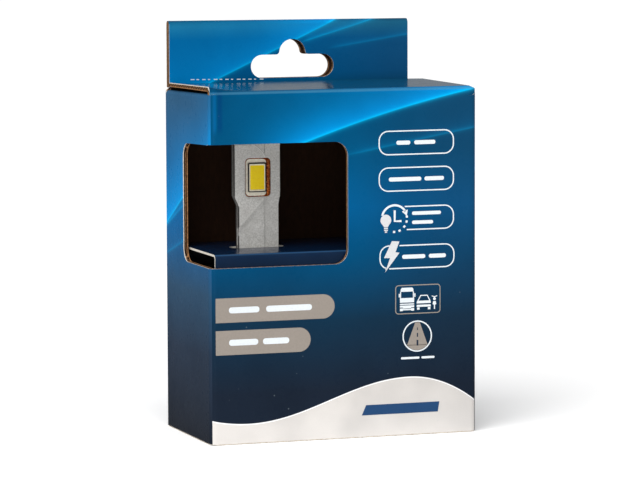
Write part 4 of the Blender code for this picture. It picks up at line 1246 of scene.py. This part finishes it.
def make_clock_label(mats):
    """Third label: a lamp on a clock dial, open at the left."""
    low, high = 59.0, 65.6
    dial = (14.9, 62.2)
    radius = 3.85
    thick = 0.6
    path = [(18.0, high)] + label_right_end(low, high) + [(18.6, low)]
    shapes = [("line", 0, path, LABEL_LINE), ("line", 0, arc(dial, radius, 165, 32, 20), thick)]
    shapes += fills([(17.1, 64.2), (18.9, 64.7), (18.6, 62.9)])
    shapes.append(("line", 0, [(14.95, 64.6), (14.95, 61.5), (17.0, 61.5)], 0.62))
    for angle in (8, -14, -38, -66, -92):
        shapes.append(("line", 0, arc(dial, radius - 0.1, angle + 5, angle - 5, 3), thick))
    lamp = arc((12.28, 61.85), 1.62, -50, 230, 20) + [(11.75, 59.9), (12.85, 59.9)]
    cap = [rounded_rectangle((12.3 - wide / 2, z - 0.19), (12.3 + wide / 2, z + 0.19), 0.1, 2)
           for z, wide in ((59.55, 1.15), (59.0, 1.15), (58.5, 0.7))]
    shapes += fills(lamp, *cap, material=1)
    shapes += fills(bar(20.2, 63.6, 8.8, 1.0), bar(20.2, 61.0, 6.4, 1.0))
    front_mark("label_clock", shapes, mats, LABEL_KEYS)


def make_bolt_label(mats):
    """Fourth label: a bolt of lightning across its left end."""
    low, high = 48.0, 54.5
    bolt = [(14.1, 55.85), (16.35, 55.7), (15.15, 52.65), (16.4, 52.5), (12.0, 47.0)]
    bolt += [(13.55, 51.05), (11.7, 51.1)]
    path = [(16.4, high)] + label_right_end(low, high, LABEL_RIGHT + 0.15) + [(13.3, low)]
    turn = LABEL_LEFT + 0.2 + LABEL_R
    rest = [(12.1, low)] + arc((turn, low + LABEL_R), LABEL_R, 262, 180, 10)
    rest += arc((turn, high - LABEL_R), LABEL_R, 180, 90, 10) + [(13.4, high)]
    shapes = [("line", 0, path, LABEL_LINE), ("line", 0, rest, LABEL_LINE)]
    shapes += fills(bolt, kind="lift", material=1)
    shapes += fills(bar(17.2, 51.25, 7.0, 1.15), bar(25.3, 51.25, 5.2, 1.15))
    front_mark("label_bolt", shapes, mats, LABEL_KEYS)


def lorry():
    """Shapes of a lorry seen from the front."""
    roof = [(16.75, 42.0), (17.1, 42.4), (20.2, 42.4), (20.55, 42.0), (20.6, 41.25), (16.7, 41.25)]
    pillars = [rectangle(x, 41.25, x + 0.28, 39.4) for x in (16.55, 20.45)]
    grille = (rectangle(16.5, 39.45, 20.8, 38.15), rectangle(16.5, 37.85, 20.8, 37.5))
    bumper = [(16.5, 37.3), (20.8, 37.3), (20.8, 36.75), (19.9, 36.75)]
    bumper += [(19.9, 36.45), (17.4, 36.45), (17.4, 36.75), (16.5, 36.75)]
    plate = rectangle(17.4, 36.3, 19.9, 35.95)
    left_wheel, right_wheel = [rectangle(x, 36.5, x + 0.9, 35.75) for x in (16.5, 19.9)]
    left_mirror, right_mirror = [rectangle(x, 40.7, x + 0.35, 39.7) for x in (16.15, 20.85)]
    ends = (left_wheel, left_mirror, right_wheel, right_mirror)
    return fills(roof, *pillars, *grille, bumper, plate, *ends)


def car():
    """Shapes of a car seen from the front."""
    screen = ("line", 0, [(21.95, 38.5), (22.8, 40.0), (24.8, 40.0), (25.6, 38.5)], 0.3)
    bonnet = [(21.7, 38.5), (25.75, 38.5), (25.85, 38.05), (25.85, 37.75), (21.6, 37.75), (21.6, 38.05)]
    bumper = rectangle(21.6, 37.35, 25.85, 36.75)
    wheels = [rectangle(x, 36.6, x + 0.75, 35.95) for x in (21.7, 25.0)]
    return [screen] + fills(bonnet, bumper, *wheels)


def motorcycle():
    """Shapes of a motorcycle seen from the front."""
    handlebar = ("line", 0, [(26.2, 39.75), (27.0, 39.45), (27.8, 39.75)], 0.24)
    lamp = arc((27.0, 38.9), 0.42, 0, 330, 12)
    tank = [(26.6, 38.2), (27.4, 38.2), (27.55, 37.4), (27.0, 37.0), (26.45, 37.4)]
    wheel = rectangle(26.84, 37.1, 27.16, 35.95)
    return [handlebar] + fills(lamp, tank, wheel)


def make_vehicle_mark(mats):
    """Outlined picture of a lorry, a car and a motorcycle."""
    frame_line = ("loop", 1, rounded_rectangle((15.2, 34.95), (28.7, 43.05), 0.9, 6), 0.26)
    front_mark("picture_vehicles", [frame_line] + lorry() + car() + motorcycle(), mats, ("white", "grey"))


def make_road_mark(mats):
    """Ringed picture of a road running away."""
    centre = (21.75, 28.4)
    radius = 4.3
    road = [(21.15, 32.35), (22.5, 32.35), (24.9, 25.8)]
    road += arc(centre, radius - 0.28, -38, -142, 12) + [(18.6, 25.8)]
    dashes = [rectangle(21.8 - wide / 2, low, 21.8 + wide / 2, high)
              for low, high, wide in ((25.7, 27.3, 0.52), (28.2, 29.3, 0.36), (30.1, 30.9, 0.24))]
    shapes = [("loop", 0, arc(centre, radius, 0, 351, 39), 0.36)] + fills(road, material=1)
    shapes += fills(*dashes, kind="lift", material=2)
    shapes += fills(bar(16.8, 22.2, 5.6, 0.62), bar(23.0, 22.2, 4.0, 0.62))
    front_mark("picture_road", shapes, mats, ("white", "grey", "navy"))


def make_name_tabs(mats):
    """Two grey tabs from the left fold, with plain bars."""
    for index, (right, low, high, bars) in enumerate((
            (-3.2, 34.65, 41.55, ((-34.6, 9.0), (-23.6, 13.6))),
            (-10.4, 25.5, 32.4, ((-34.6, 8.6), (-24.6, 7.8))))):
        half = (high - low) / 2
        shape = [(-38.5, high), (-38.5, low)]
        shape += arc((right - half, low + half), half, -90, 90, 20)
        shapes = [("fill", 0, shape)]
        shapes += [("lift", 1, bar(x, low + half, long, 1.7)) for x, long in bars]
        front_mark(f"grey_tab_{index + 1}", shapes, mats, ("grey", "white"))


def make_name_bar(mats):
    """A plain slanted bar in the cream field."""
    shape = [(4.9, 6.4), (28.0, 6.4), (28.5, 9.3), (6.2, 9.3)]
    front_mark("plain_bar", [("fill", 0, shape)], mats, ("blue",))


# ------------------------------------------------------------------ light blade

FACE = 1.5 * MM                     # outer face of a blade half from the axis plane
PART_LINE = 0.15 * MM               # the halves part this far from the axis plane
SEAT_HALF = 4.7 * MM                # half the width of the copper core's seat
HEAD_HALF = 6.95 * MM
NECK_LEFT = -5.7 * MM
NECK_RIGHT = 6.5 * MM
SHOULDER_LOW = LIGHT_Z - 8.0 * MM
SHOULDER_HIGH = LIGHT_Z - 5.2 * MM
TIP = BLADE_HIGH.z
TIP_CUT = 1.5 * MM
POCKET_LEFT = -3.6 * MM
POCKET_RIGHT = 4.1 * MM
POCKET_HALF_H = 5.55 * MM
STEP_X = 2.1 * MM                   # the face drops back in a step right of here
STEP_DEPTH = 0.30 * MM
TOP_FACET_DEPTH = 0.13 * MM         # above the curve over the light
FOOT_FACET_DEPTH = 0.22 * MM        # under the diagonal below the light
RIDGE_HEIGHT = 0.05 * MM            # along that diagonal
EDGE_DROP = 0.16 * MM               # how far the face's worn edges round over, and how wide


def blade_sides(z):
    """Left and right edge of the blade at a height."""
    rise = held((z - SHOULDER_LOW) / (SHOULDER_HIGH - SHOULDER_LOW))
    left = NECK_LEFT + (-HEAD_HALF - NECK_LEFT) * rise
    right = NECK_RIGHT + (HEAD_HALF - NECK_RIGHT) * rise
    cut = max(z - (TIP - TIP_CUT), 0.0)
    return left + cut, right - cut


def blade_relief(u, z):
    """Height of the outer face from the axis plane: its step, facets and ridge."""
    face = FACE
    up = (z - LIGHT_Z) / MM
    across = u / MM
    face -= STEP_DEPTH * ease(across, 2.06, 2.16)
    curve = 6.8 + 2.6 / (1 + math.exp((across - 0.3) * 2.6))
    face -= TOP_FACET_DEPTH * ease(up, curve - 0.05, curve + 0.18) * (1 - ease(across, 2.0, 2.1))
    diagonal = -5.6 + (across - 2.4) * 1.06
    below = diagonal - up
    face -= FOOT_FACET_DEPTH * ease(below, 0.0, 2.4) * ease(-up, 4.0, 6.0)
    face += RIDGE_HEIGHT * math.exp(-((below - 0.1) / 0.5) ** 2) * ease(-up, 5.0, 6.5)
    return face


def blade_columns(left, right):
    """Places across the blade, close together at its edges and at the step."""
    inner = spread(left + EDGE_DROP, STEP_X - 0.08 * MM, 26)
    outer = spread(STEP_X + 0.08 * MM, right - EDGE_DROP, 14)
    return [left] + inner + [STEP_X - 0.03 * MM, STEP_X + 0.03 * MM] + outer + [right]


def depths(side, near, far):
    """Two distances out from the axis plane, as places in order."""
    return sorted((BULB_Y + side * near, BULB_Y + side * far))


def make_blade_half(name, side, mats):
    """One cast half of the blade with its facets and pocket."""
    low_z = FOOT_LOW + 0.02 * MM
    levels = sorted(spread(low_z, TIP, 170) + [TIP - TIP_CUT, TIP - 0.08 * MM])
    bm = bmesh.new()
    front_rows, back_rows = [], []
    for z in levels:
        left, right = blade_sides(z)
        row = []
        for u in blade_columns(left, right):
            near_edge = min(u - left, right - u, TIP - z)
            face = blade_relief(u, z) - EDGE_DROP * (1 - ease(near_edge, 0.0, EDGE_DROP)) ** 2
            row.append((BULB_X + u, BULB_Y + side * face, z))
        front_rows.append(row)
        back_rows.append([(p[0], BULB_Y + side * PART_LINE, z) for p in row])
    front = add_sheet(bm, front_rows)
    back = add_sheet(bm, back_rows)
    for i in range(len(levels) - 1):
        for j in (0, -1):
            bm.faces.new((front[i][j], front[i + 1][j], back[i + 1][j], back[i][j]))
    for end in (0, -1):
        join_lines(bm, front[end], back[end])
    half = finish_mesh(name, bm, [mats["blade"], mats["blade_side"]])
    # side faces take the darker copy of the finish: painted shade
    for face in half.data.polygons:
        face.material_index = int(abs(face.normal.x) > 0.7)
    pocket_low = (BULB_X + POCKET_LEFT, LIGHT_Z - POCKET_HALF_H)
    pocket_high = (BULB_X + POCKET_RIGHT, LIGHT_Z + POCKET_HALF_H)
    rim = 0.38 * MM
    rim_low = (pocket_low[0] - rim, pocket_low[1] - rim)
    rim_high = (pocket_high[0] + rim, pocket_high[1] + rim)
    beyond = 3 * MM
    rim_depths = depths(side, FACE - 0.36 * MM, beyond)
    pocket_depths = depths(side, -0.5 * MM, beyond)
    pocket = cutter(rounded_rectangle(pocket_low, pocket_high, 1.2 * MM, 10), *pocket_depths, "Y")
    border = cutter(rounded_rectangle(rim_low, rim_high, 1.5 * MM, 10), *rim_depths, "Y")
    slit = rectangle(BULB_X - 7 * MM, LIGHT_Z - 19.2 * MM, BULB_X - 5.0 * MM, LIGHT_Z - 14.2 * MM)
    slot = cutter(slit, *depths(side, -MM, 0.42 * MM), "Y")
    seat = rectangle(BULB_X - SEAT_HALF, FOOT_LOW - MM, BULB_X + SEAT_HALF, TIP - 1.3 * MM)
    core = cutter(seat, *depths(side, -MM, 0.5 * MM), "Y")
    cut_with(half, border, pocket, slot, core)
    smooth(half, 28)
    return place(half, "bulb", "cast_aluminium", name.replace("blade_shell_", "blade_") + "_half")


def make_foot(mats):
    """Round foot of the blade, split on the part line, with its two screw seats."""
    radius = max(BLADE_HIGH.x - BULB_X, BULB_Y - BLADE_LOW.y)
    for side, word in ((-1, "front"), (1, "rear")):
        start = 0 if side > 0 else 180
        top = FOOT_LOW + 1.0 * MM
        edge = BULB_Y + side * PART_LINE
        bm = bmesh.new()
        rows = []
        for inset, z in ((0.12, 0.0), (0.0, 0.12), (0.0, 0.86), (0.14, 1.0)):
            line = arc((BULB_X, 0), radius - inset * MM, start, start + 180, 48)
            rows.append([(x, edge + y, FOOT_LOW + z * MM) for x, y in line])
        add_tube(bm, rows)
        foot = finish_mesh("blade_foot_" + word, bm, [mats["blade"]])
        centre = (BULB_X, BULB_Y + side * 5.4 * MM)
        hole = arc(centre, 1.1 * MM, 0, 345, 23)
        cut_with(foot, cutter(hole, FOOT_LOW - MM, top + MM, "Z"))
        smooth(foot, 40)
        place(foot, "bulb", "cast_aluminium")


# Raised line of the casting, in mm across from the axis and up from the light: part of a flattened oval
LINE_LEFT = -1.75
LINE_RIGHT = 2.1
LINE_LOW = 5.9
LINE_RISE = 3.6
LINE_POWER = 1.4
LINE_STEPS = 16


def blade_curve():
    """Points of the raised line, closer together where it steepens."""
    points = []
    for i in range(LINE_STEPS + 1):
        share = math.sin(math.pi / 2 * i / LINE_STEPS)
        rise = (1 - share ** LINE_POWER) ** (1 / LINE_POWER)
        points.append((LINE_LEFT + (LINE_RIGHT - LINE_LEFT) * share, LINE_LOW + LINE_RISE * rise))
    return points


def make_blade_line(word, side, mats):
    """Thin raised line that curves down to the pocket's upper corner, in a brighter copy of the blade's
    finish: a painted highlight.
    """
    bm = bmesh.new()
    rows = []
    points = blade_curve()
    for i, (across, up) in enumerate(points):
        before = points[max(i - 1, 0)]
        after = points[min(i + 1, len(points) - 1)]
        run = Vector((after[0] - before[0], after[1] - before[1])).normalized()
        row = []
        for shift, out in ((-0.2, -0.08), (0.0, 0.12), (0.2, -0.08), (0.0, -0.15)):
            u = (across - run.y * shift) * MM
            z = LIGHT_Z + (up + run.x * shift) * MM
            row.append((BULB_X + u, BULB_Y + side * (blade_relief(u, z) + out * MM), z))
        rows.append(row)
    add_tube(bm, rows)
    line = finish_mesh("blade_line_" + word, bm, [mats["blade_line"]])
    place(line, "bulb", "cast_aluminium")


def rectangle_ring(low, high, radius, rim, steps=6):
    """Outer and inner outlines of a rounded rectangular ring."""
    inner_low = (low[0] + rim, low[1] + rim)
    inner_high = (high[0] - rim, high[1] - rim)
    return (rounded_rectangle(low, high, radius, steps),
            rounded_rectangle(inner_low, inner_high, max(radius - rim, 0.05 * MM), steps))


def light_corners(half_w, half_h, shift=0.0):
    """Low and high corner of a rectangle about the light, from sizes in mm."""
    return ((BULB_X + (shift - half_w) * MM, LIGHT_Z - half_h * MM),
            (BULB_X + (shift + half_w) * MM, LIGHT_Z + half_h * MM))


def make_light_board(word, side, mats):
    """Cream board in the pocket, and the dark mask on it: a ring of painted shade in the gap round the dam,
    and a plate under the dam.
    """
    bm = bmesh.new()
    outline = rounded_rectangle(*light_corners(3.05, 5.25, -0.25), 1.1 * MM)
    add_prism(bm, outline, *depths(side, 0.52 * MM, 0.8 * MM), "Y")
    board = finish_mesh("light_board_" + word, bm, [mats["led_board"]])
    place(board, "bulb", "led_ceramic", "led_board_" + word)
    bm = bmesh.new()
    # the ring is painted shade in the gap round the dam
    outer, inner = rectangle_ring(*light_corners(2.7, 4.2), 0.3 * MM, 0.30 * MM)
    add_ring(bm, outer, inner, *depths(side, 0.8 * MM, 1.22 * MM), "Y")
    outline = rounded_rectangle(*light_corners(2.45, 3.95), 0.2 * MM)
    add_prism(bm, outline, *depths(side, 0.8 * MM, 0.98 * MM), "Y")
    mask = finish_mesh("light_gap_shade_" + word, bm, [mats["led_gap_shade"]])
    place(mask, "bulb", "led_ceramic")


# Rings of the dam: half its width, half its height and the distance from the axis plane, in mm
DAM_OUTSIDE = ((2.42, 3.92, 0.95), (2.42, 3.92, 1.2), (2.34, 3.84, 1.29))
DAM_INSIDE = ((2.2, 3.66, 1.3), (2.12, 3.5, 1.24), (2.1, 3.45, 0.98))


def make_light_dam(word, side, mats):
    """Rounded cream dam round the yellow field."""
    bm = bmesh.new()
    rings = []
    for half_w, half_h, out in DAM_OUTSIDE + DAM_INSIDE:
        outline = rounded_rectangle(*light_corners(half_w, half_h), 0.35 * MM, 6)
        rings.append([(x, BULB_Y + side * out * MM, z) for x, z in outline])
    add_sheet(bm, rings + [rings[0]], closed=True)
    dam = finish_mesh("light_dam_" + word, bm, [mats["led_frame"]])
    smooth(dam, 60)
    place(dam, "bulb", "led_ceramic", "led_frame_" + word)


FIELD_HALF_W = 2.1                  # mm
FIELD_HALF_H = 3.46
FIELD_EDGE = 1.14                   # from the axis plane
FIELD_CROWN = 0.1                   # rise to its middle


def make_light_field(word, side, mats):
    """The crowned yellow field that gives the light."""
    bm = bmesh.new()
    rows = []
    for i in range(25):
        t = -1 + i / 12
        row = []
        for j in range(17):
            s = -1 + j / 8
            out = FIELD_EDGE + FIELD_CROWN * ((1 - s ** 6) * (1 - t ** 6))
            x = BULB_X + s * FIELD_HALF_W * MM
            z = LIGHT_Z + t * FIELD_HALF_H * MM
            row.append((x, BULB_Y + side * out * MM, z))
        rows.append(row)
    top = add_sheet(bm, rows)
    back = BULB_Y + side * MM
    low, high = copy_onto(bm, top[0], back), copy_onto(bm, top[-1], back)
    first, last = [row[0] for row in top], [row[-1] for row in top]
    left, right = copy_onto(bm, first, back), copy_onto(bm, last, back)
    for edge, under in ((top[0], low), (top[-1], high), (first, left), (last, right), (left, right)):
        join_lines(bm, edge, under)
    field = finish_mesh("light_field_" + word, bm, [mats["phosphor"]])
    smooth(field, 50)
    place(field, "bulb", "phosphor", "led_phosphor_" + word)


STRIP_LEFT = 2.98                   # mm right of the axis
STRIP_WIDE = 0.92
STRIP_HALF_H = 5.2
STRIP_ROWS = 65


def make_copper_strip(word, side, mats):
    """Rough bare copper beside the light, a dark groove on each of its sides."""
    bm = bmesh.new()
    rows = []
    for i in range(STRIP_ROWS + 1):
        z = LIGHT_Z - STRIP_HALF_H * MM + 2 * STRIP_HALF_H * MM * i / STRIP_ROWS
        row = []
        for j in range(9):
            u = (STRIP_LEFT + STRIP_WIDE * j / 8) * MM
            rough = math.sin(i * 1.9 + j * 2.7) * math.cos(i * 0.83 - j * 1.31)
            edge = 1 - abs(2 * j / 8 - 1) ** 3
            row.append((BULB_X + u, BULB_Y + side * (0.55 + 0.28 * edge + 0.05 * rough) * MM, z))
        rows.append(row)
    top = add_sheet(bm, rows)
    back = BULB_Y + side * 0.42 * MM
    base = [copy_onto(bm, (row[0], row[-1]), back) for row in top]
    for i in range(STRIP_ROWS):
        bm.faces.new((top[i][0], top[i + 1][0], base[i + 1][0], base[i][0]))
        bm.faces.new((top[i][-1], top[i + 1][-1], base[i + 1][1], base[i][1]))
        bm.faces.new((base[i][0], base[i + 1][0], base[i + 1][1], base[i][1]))
    for end in (0, -1):
        bm.faces.new(top[end] + [base[end][1], base[end][0]])
    strip = finish_mesh("copper_strip_" + word, bm, [mats["copper"]])
    smooth(strip, 60)
    place(strip, "bulb", "bare_copper")


# ------------------------------------------------------------------ carried-over CAD nodes

NODES_BY_FINISH = {
    "copper": ("copper_core", "fan_stator"),
    "steel": ("blade_screw_front", "blade_screw_rear", "collar_grub_screw", "fan_shaft", "housing_screw_1",
              "housing_screw_2", "housing_screw_3", "shroud_screw_1", "shroud_screw_2"),
    "collar": ("mounting_collar",),
    "rubber": ("collar_gasket",),
    "sink": ("heat_sink",),
    "plastic": ("fan_frame", "fan_rotor", "base_housing", "connector_shroud"),
    "ferrite": ("fan_magnet", "driver_inductor"),
    "brass": ("fan_bearing", "side_contact_ring", "centre_contact_pin"),
    "laminate": ("driver_board",),
    "can": ("driver_capacitor",),
    "chip": ("driver_transistor", "driver_rectifier"),
    "wire": ("led_wire_positive",),
    "wire_black": ("led_wire_negative",),
    "insulator": ("connector_insulator",),
    "kraft": ("bottom_flap_left", "bottom_flap_right"),
}
USUAL_EASE = 0.08                   # bevel width of a carried-over edge, mm
EASED_EDGE = {"heat_sink": 0.12, "fan_frame": 0.2, "base_housing": 0.25, "connector_shroud": 0.25,
              "mounting_collar": 0.15, "connector_insulator": 0.2}


def dress_node(name, mat):
    """Give a carried-over CAD node its finish and eased edges."""
    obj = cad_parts[name]
    for slot in obj.material_slots:
        slot.material = mat
    if not obj.material_slots:
        obj.data.materials.append(mat)
    weld = obj.modifiers.new("weld", "WELD")
    weld.merge_threshold = 0.01 * MM
    bevel = obj.modifiers.new("eased_edges", "BEVEL")
    bevel.width = EASED_EDGE.get(name, USUAL_EASE) * MM
    bevel.segments = 2
    bevel.limit_method = "ANGLE"
    bevel.angle_limit = math.radians(40)
    bevel.harden_normals = False


def dress_nodes(mats):
    """Dress every carried-over CAD node."""
    for key, names in NODES_BY_FINISH.items():
        for name in names:
            dress_node(name, mats[key])


# ------------------------------------------------------------------ studio

def make_floor():
    """Wide pale studio floor."""
    fin = Finish("studio_floor")
    cloud = fin.noise(0.8, 2.0)
    color = fin.mix(cloud, (0.95, 0.95, 0.95), (0.97, 0.97, 0.97))
    fin.set(Base_Color=color, Roughness=0.7, Specular_IOR_Level=0.05)
    fin.set(Emission_Color=color, Emission_Strength=0.14)
    bm = bmesh.new()
    rings = [[(x, y, 0.0) for x, y in arc((0, 0), reach, 0, 354, 59)] for reach in (0.3, 1.0, 3.0, 9.0)]
    verts = add_sheet(bm, rings, closed=True)
    bm.faces.new(verts[0])
    floor = finish_mesh("studio_ground", bm, [fin.mat])
    floor.location.z = -0.02 * MM
    floor.visible_glossy = False


def make_light_panel(name, place_at, aim, size, power, color=(1.0, 1.0, 1.0)):
    """Soft rectangular studio light."""
    data = bpy.data.lights.new(name, "AREA")
    data.shape = "RECTANGLE"
    data.size, data.size_y = size
    data.energy = power
    data.color = color
    obj = new_object(name, data)
    obj.location = place_at
    obj.rotation_euler = (Vector(aim) - Vector(place_at)).to_track_quat("-Z", "Y").to_euler()
    return obj


KEY = 2.6                           # strength of the broad key light
KEY_AIM = Vector((0.42, 0.60, -1.0))
KEY_SPREAD = math.radians(50)
AMBIENT = 0.3                       # light from all round, against the white seen behind


def make_studio():
    """World, floor and lights."""
    world = bpy.data.worlds.new("studio_world")
    world.use_nodes = True
    tree = world.node_tree
    back = tree.nodes["Background"]
    paths = tree.nodes.new("ShaderNodeLightPath")
    level = tree.nodes.new("ShaderNodeMapRange")
    level.inputs[3].default_value = AMBIENT
    level.inputs[4].default_value = 1.0
    tree.links.new(paths.outputs["Is Camera Ray"], level.inputs[0])
    tree.links.new(level.outputs[0], back.inputs[1])
    back.inputs[0].default_value = (1.0, 1.0, 1.0, 1.0)
    bpy.context.scene.world = world
    make_floor()
    sun = bpy.data.lights.new("broad_key", "SUN")
    sun.energy = KEY
    sun.angle = KEY_SPREAD
    key = new_object("broad_key", sun)
    key.rotation_euler = KEY_AIM.to_track_quat("-Z", "Y").to_euler()
    middle = (0, 0, 0.05)
    make_light_panel("softbox_left", (-0.85, -0.65, 0.75), middle, (0.6, 0.6), 2.5)
    make_light_panel("softbox_right", (0.9, -0.6, 0.55), middle, (0.5, 0.6), 1.5)
    make_light_panel("softbox_low", (-0.42, -1.0, 0.02), middle, (0.5, 0.3), 1.3)


# Camera: where it stands about a point on the carton's axis, and its lens
CAMERA_TURN = math.radians(19.24)   # to the left of straight on
CAMERA_RISE = math.radians(5.68)
CAMERA_ROLL = math.radians(-0.2)
CAMERA_AWAY = 1.106
AIM = Vector((0.0, 0.0, 54.7 * MM))
LENS = 216.2
SENSOR = 36.0


def make_camera():
    """Camera a little above and to the left of the front."""
    data = bpy.data.cameras.new("view")
    data.lens = LENS
    data.sensor_width = SENSOR
    camera = new_object("view", data)
    flat = CAMERA_AWAY * math.cos(CAMERA_RISE)
    up = CAMERA_AWAY * math.sin(CAMERA_RISE)
    away = Vector((-flat * math.sin(CAMERA_TURN), -flat * math.cos(CAMERA_TURN), up))
    turn = (-away).to_track_quat("-Z", "Y").to_matrix()
    roll = Matrix.Rotation(CAMERA_ROLL, 3, "Z")
    camera.matrix_world = Matrix.Translation(AIM + away) @ (turn @ roll).to_4x4()
    data.clip_start = 0.05
    data.clip_end = 20.0
    bpy.context.scene.camera = camera


# ------------------------------------------------------------------ build

make_camera()
finishes = make_finishes()
make_carton_walls(finishes)
make_carton_floor(finishes)
make_lid(finishes)
make_flaps(finishes)
make_lid_crease(finishes)
make_flap_creases(finishes)
make_tab_crease(finishes)
make_tab(finishes)
make_perforation(finishes)
make_insert(finishes)
make_plain_labels(finishes)
make_clock_label(finishes)
make_bolt_label(finishes)
make_vehicle_mark(finishes)
make_road_mark(finishes)
make_name_tabs(finishes)
make_name_bar(finishes)
for half_word, half_side in (("front", -1), ("rear", 1)):
    make_blade_half("blade_shell_" + half_word, half_side, finishes)
    make_light_board(half_word, half_side, finishes)
    make_light_dam(half_word, half_side, finishes)
    make_light_field(half_word, half_side, finishes)
    make_copper_strip(half_word, half_side, finishes)
    make_blade_line(half_word, half_side, finishes)
make_foot(finishes)
dress_nodes(finishes)
make_studio()
bpy.context.scene.view_settings.view_transform = "Standard"
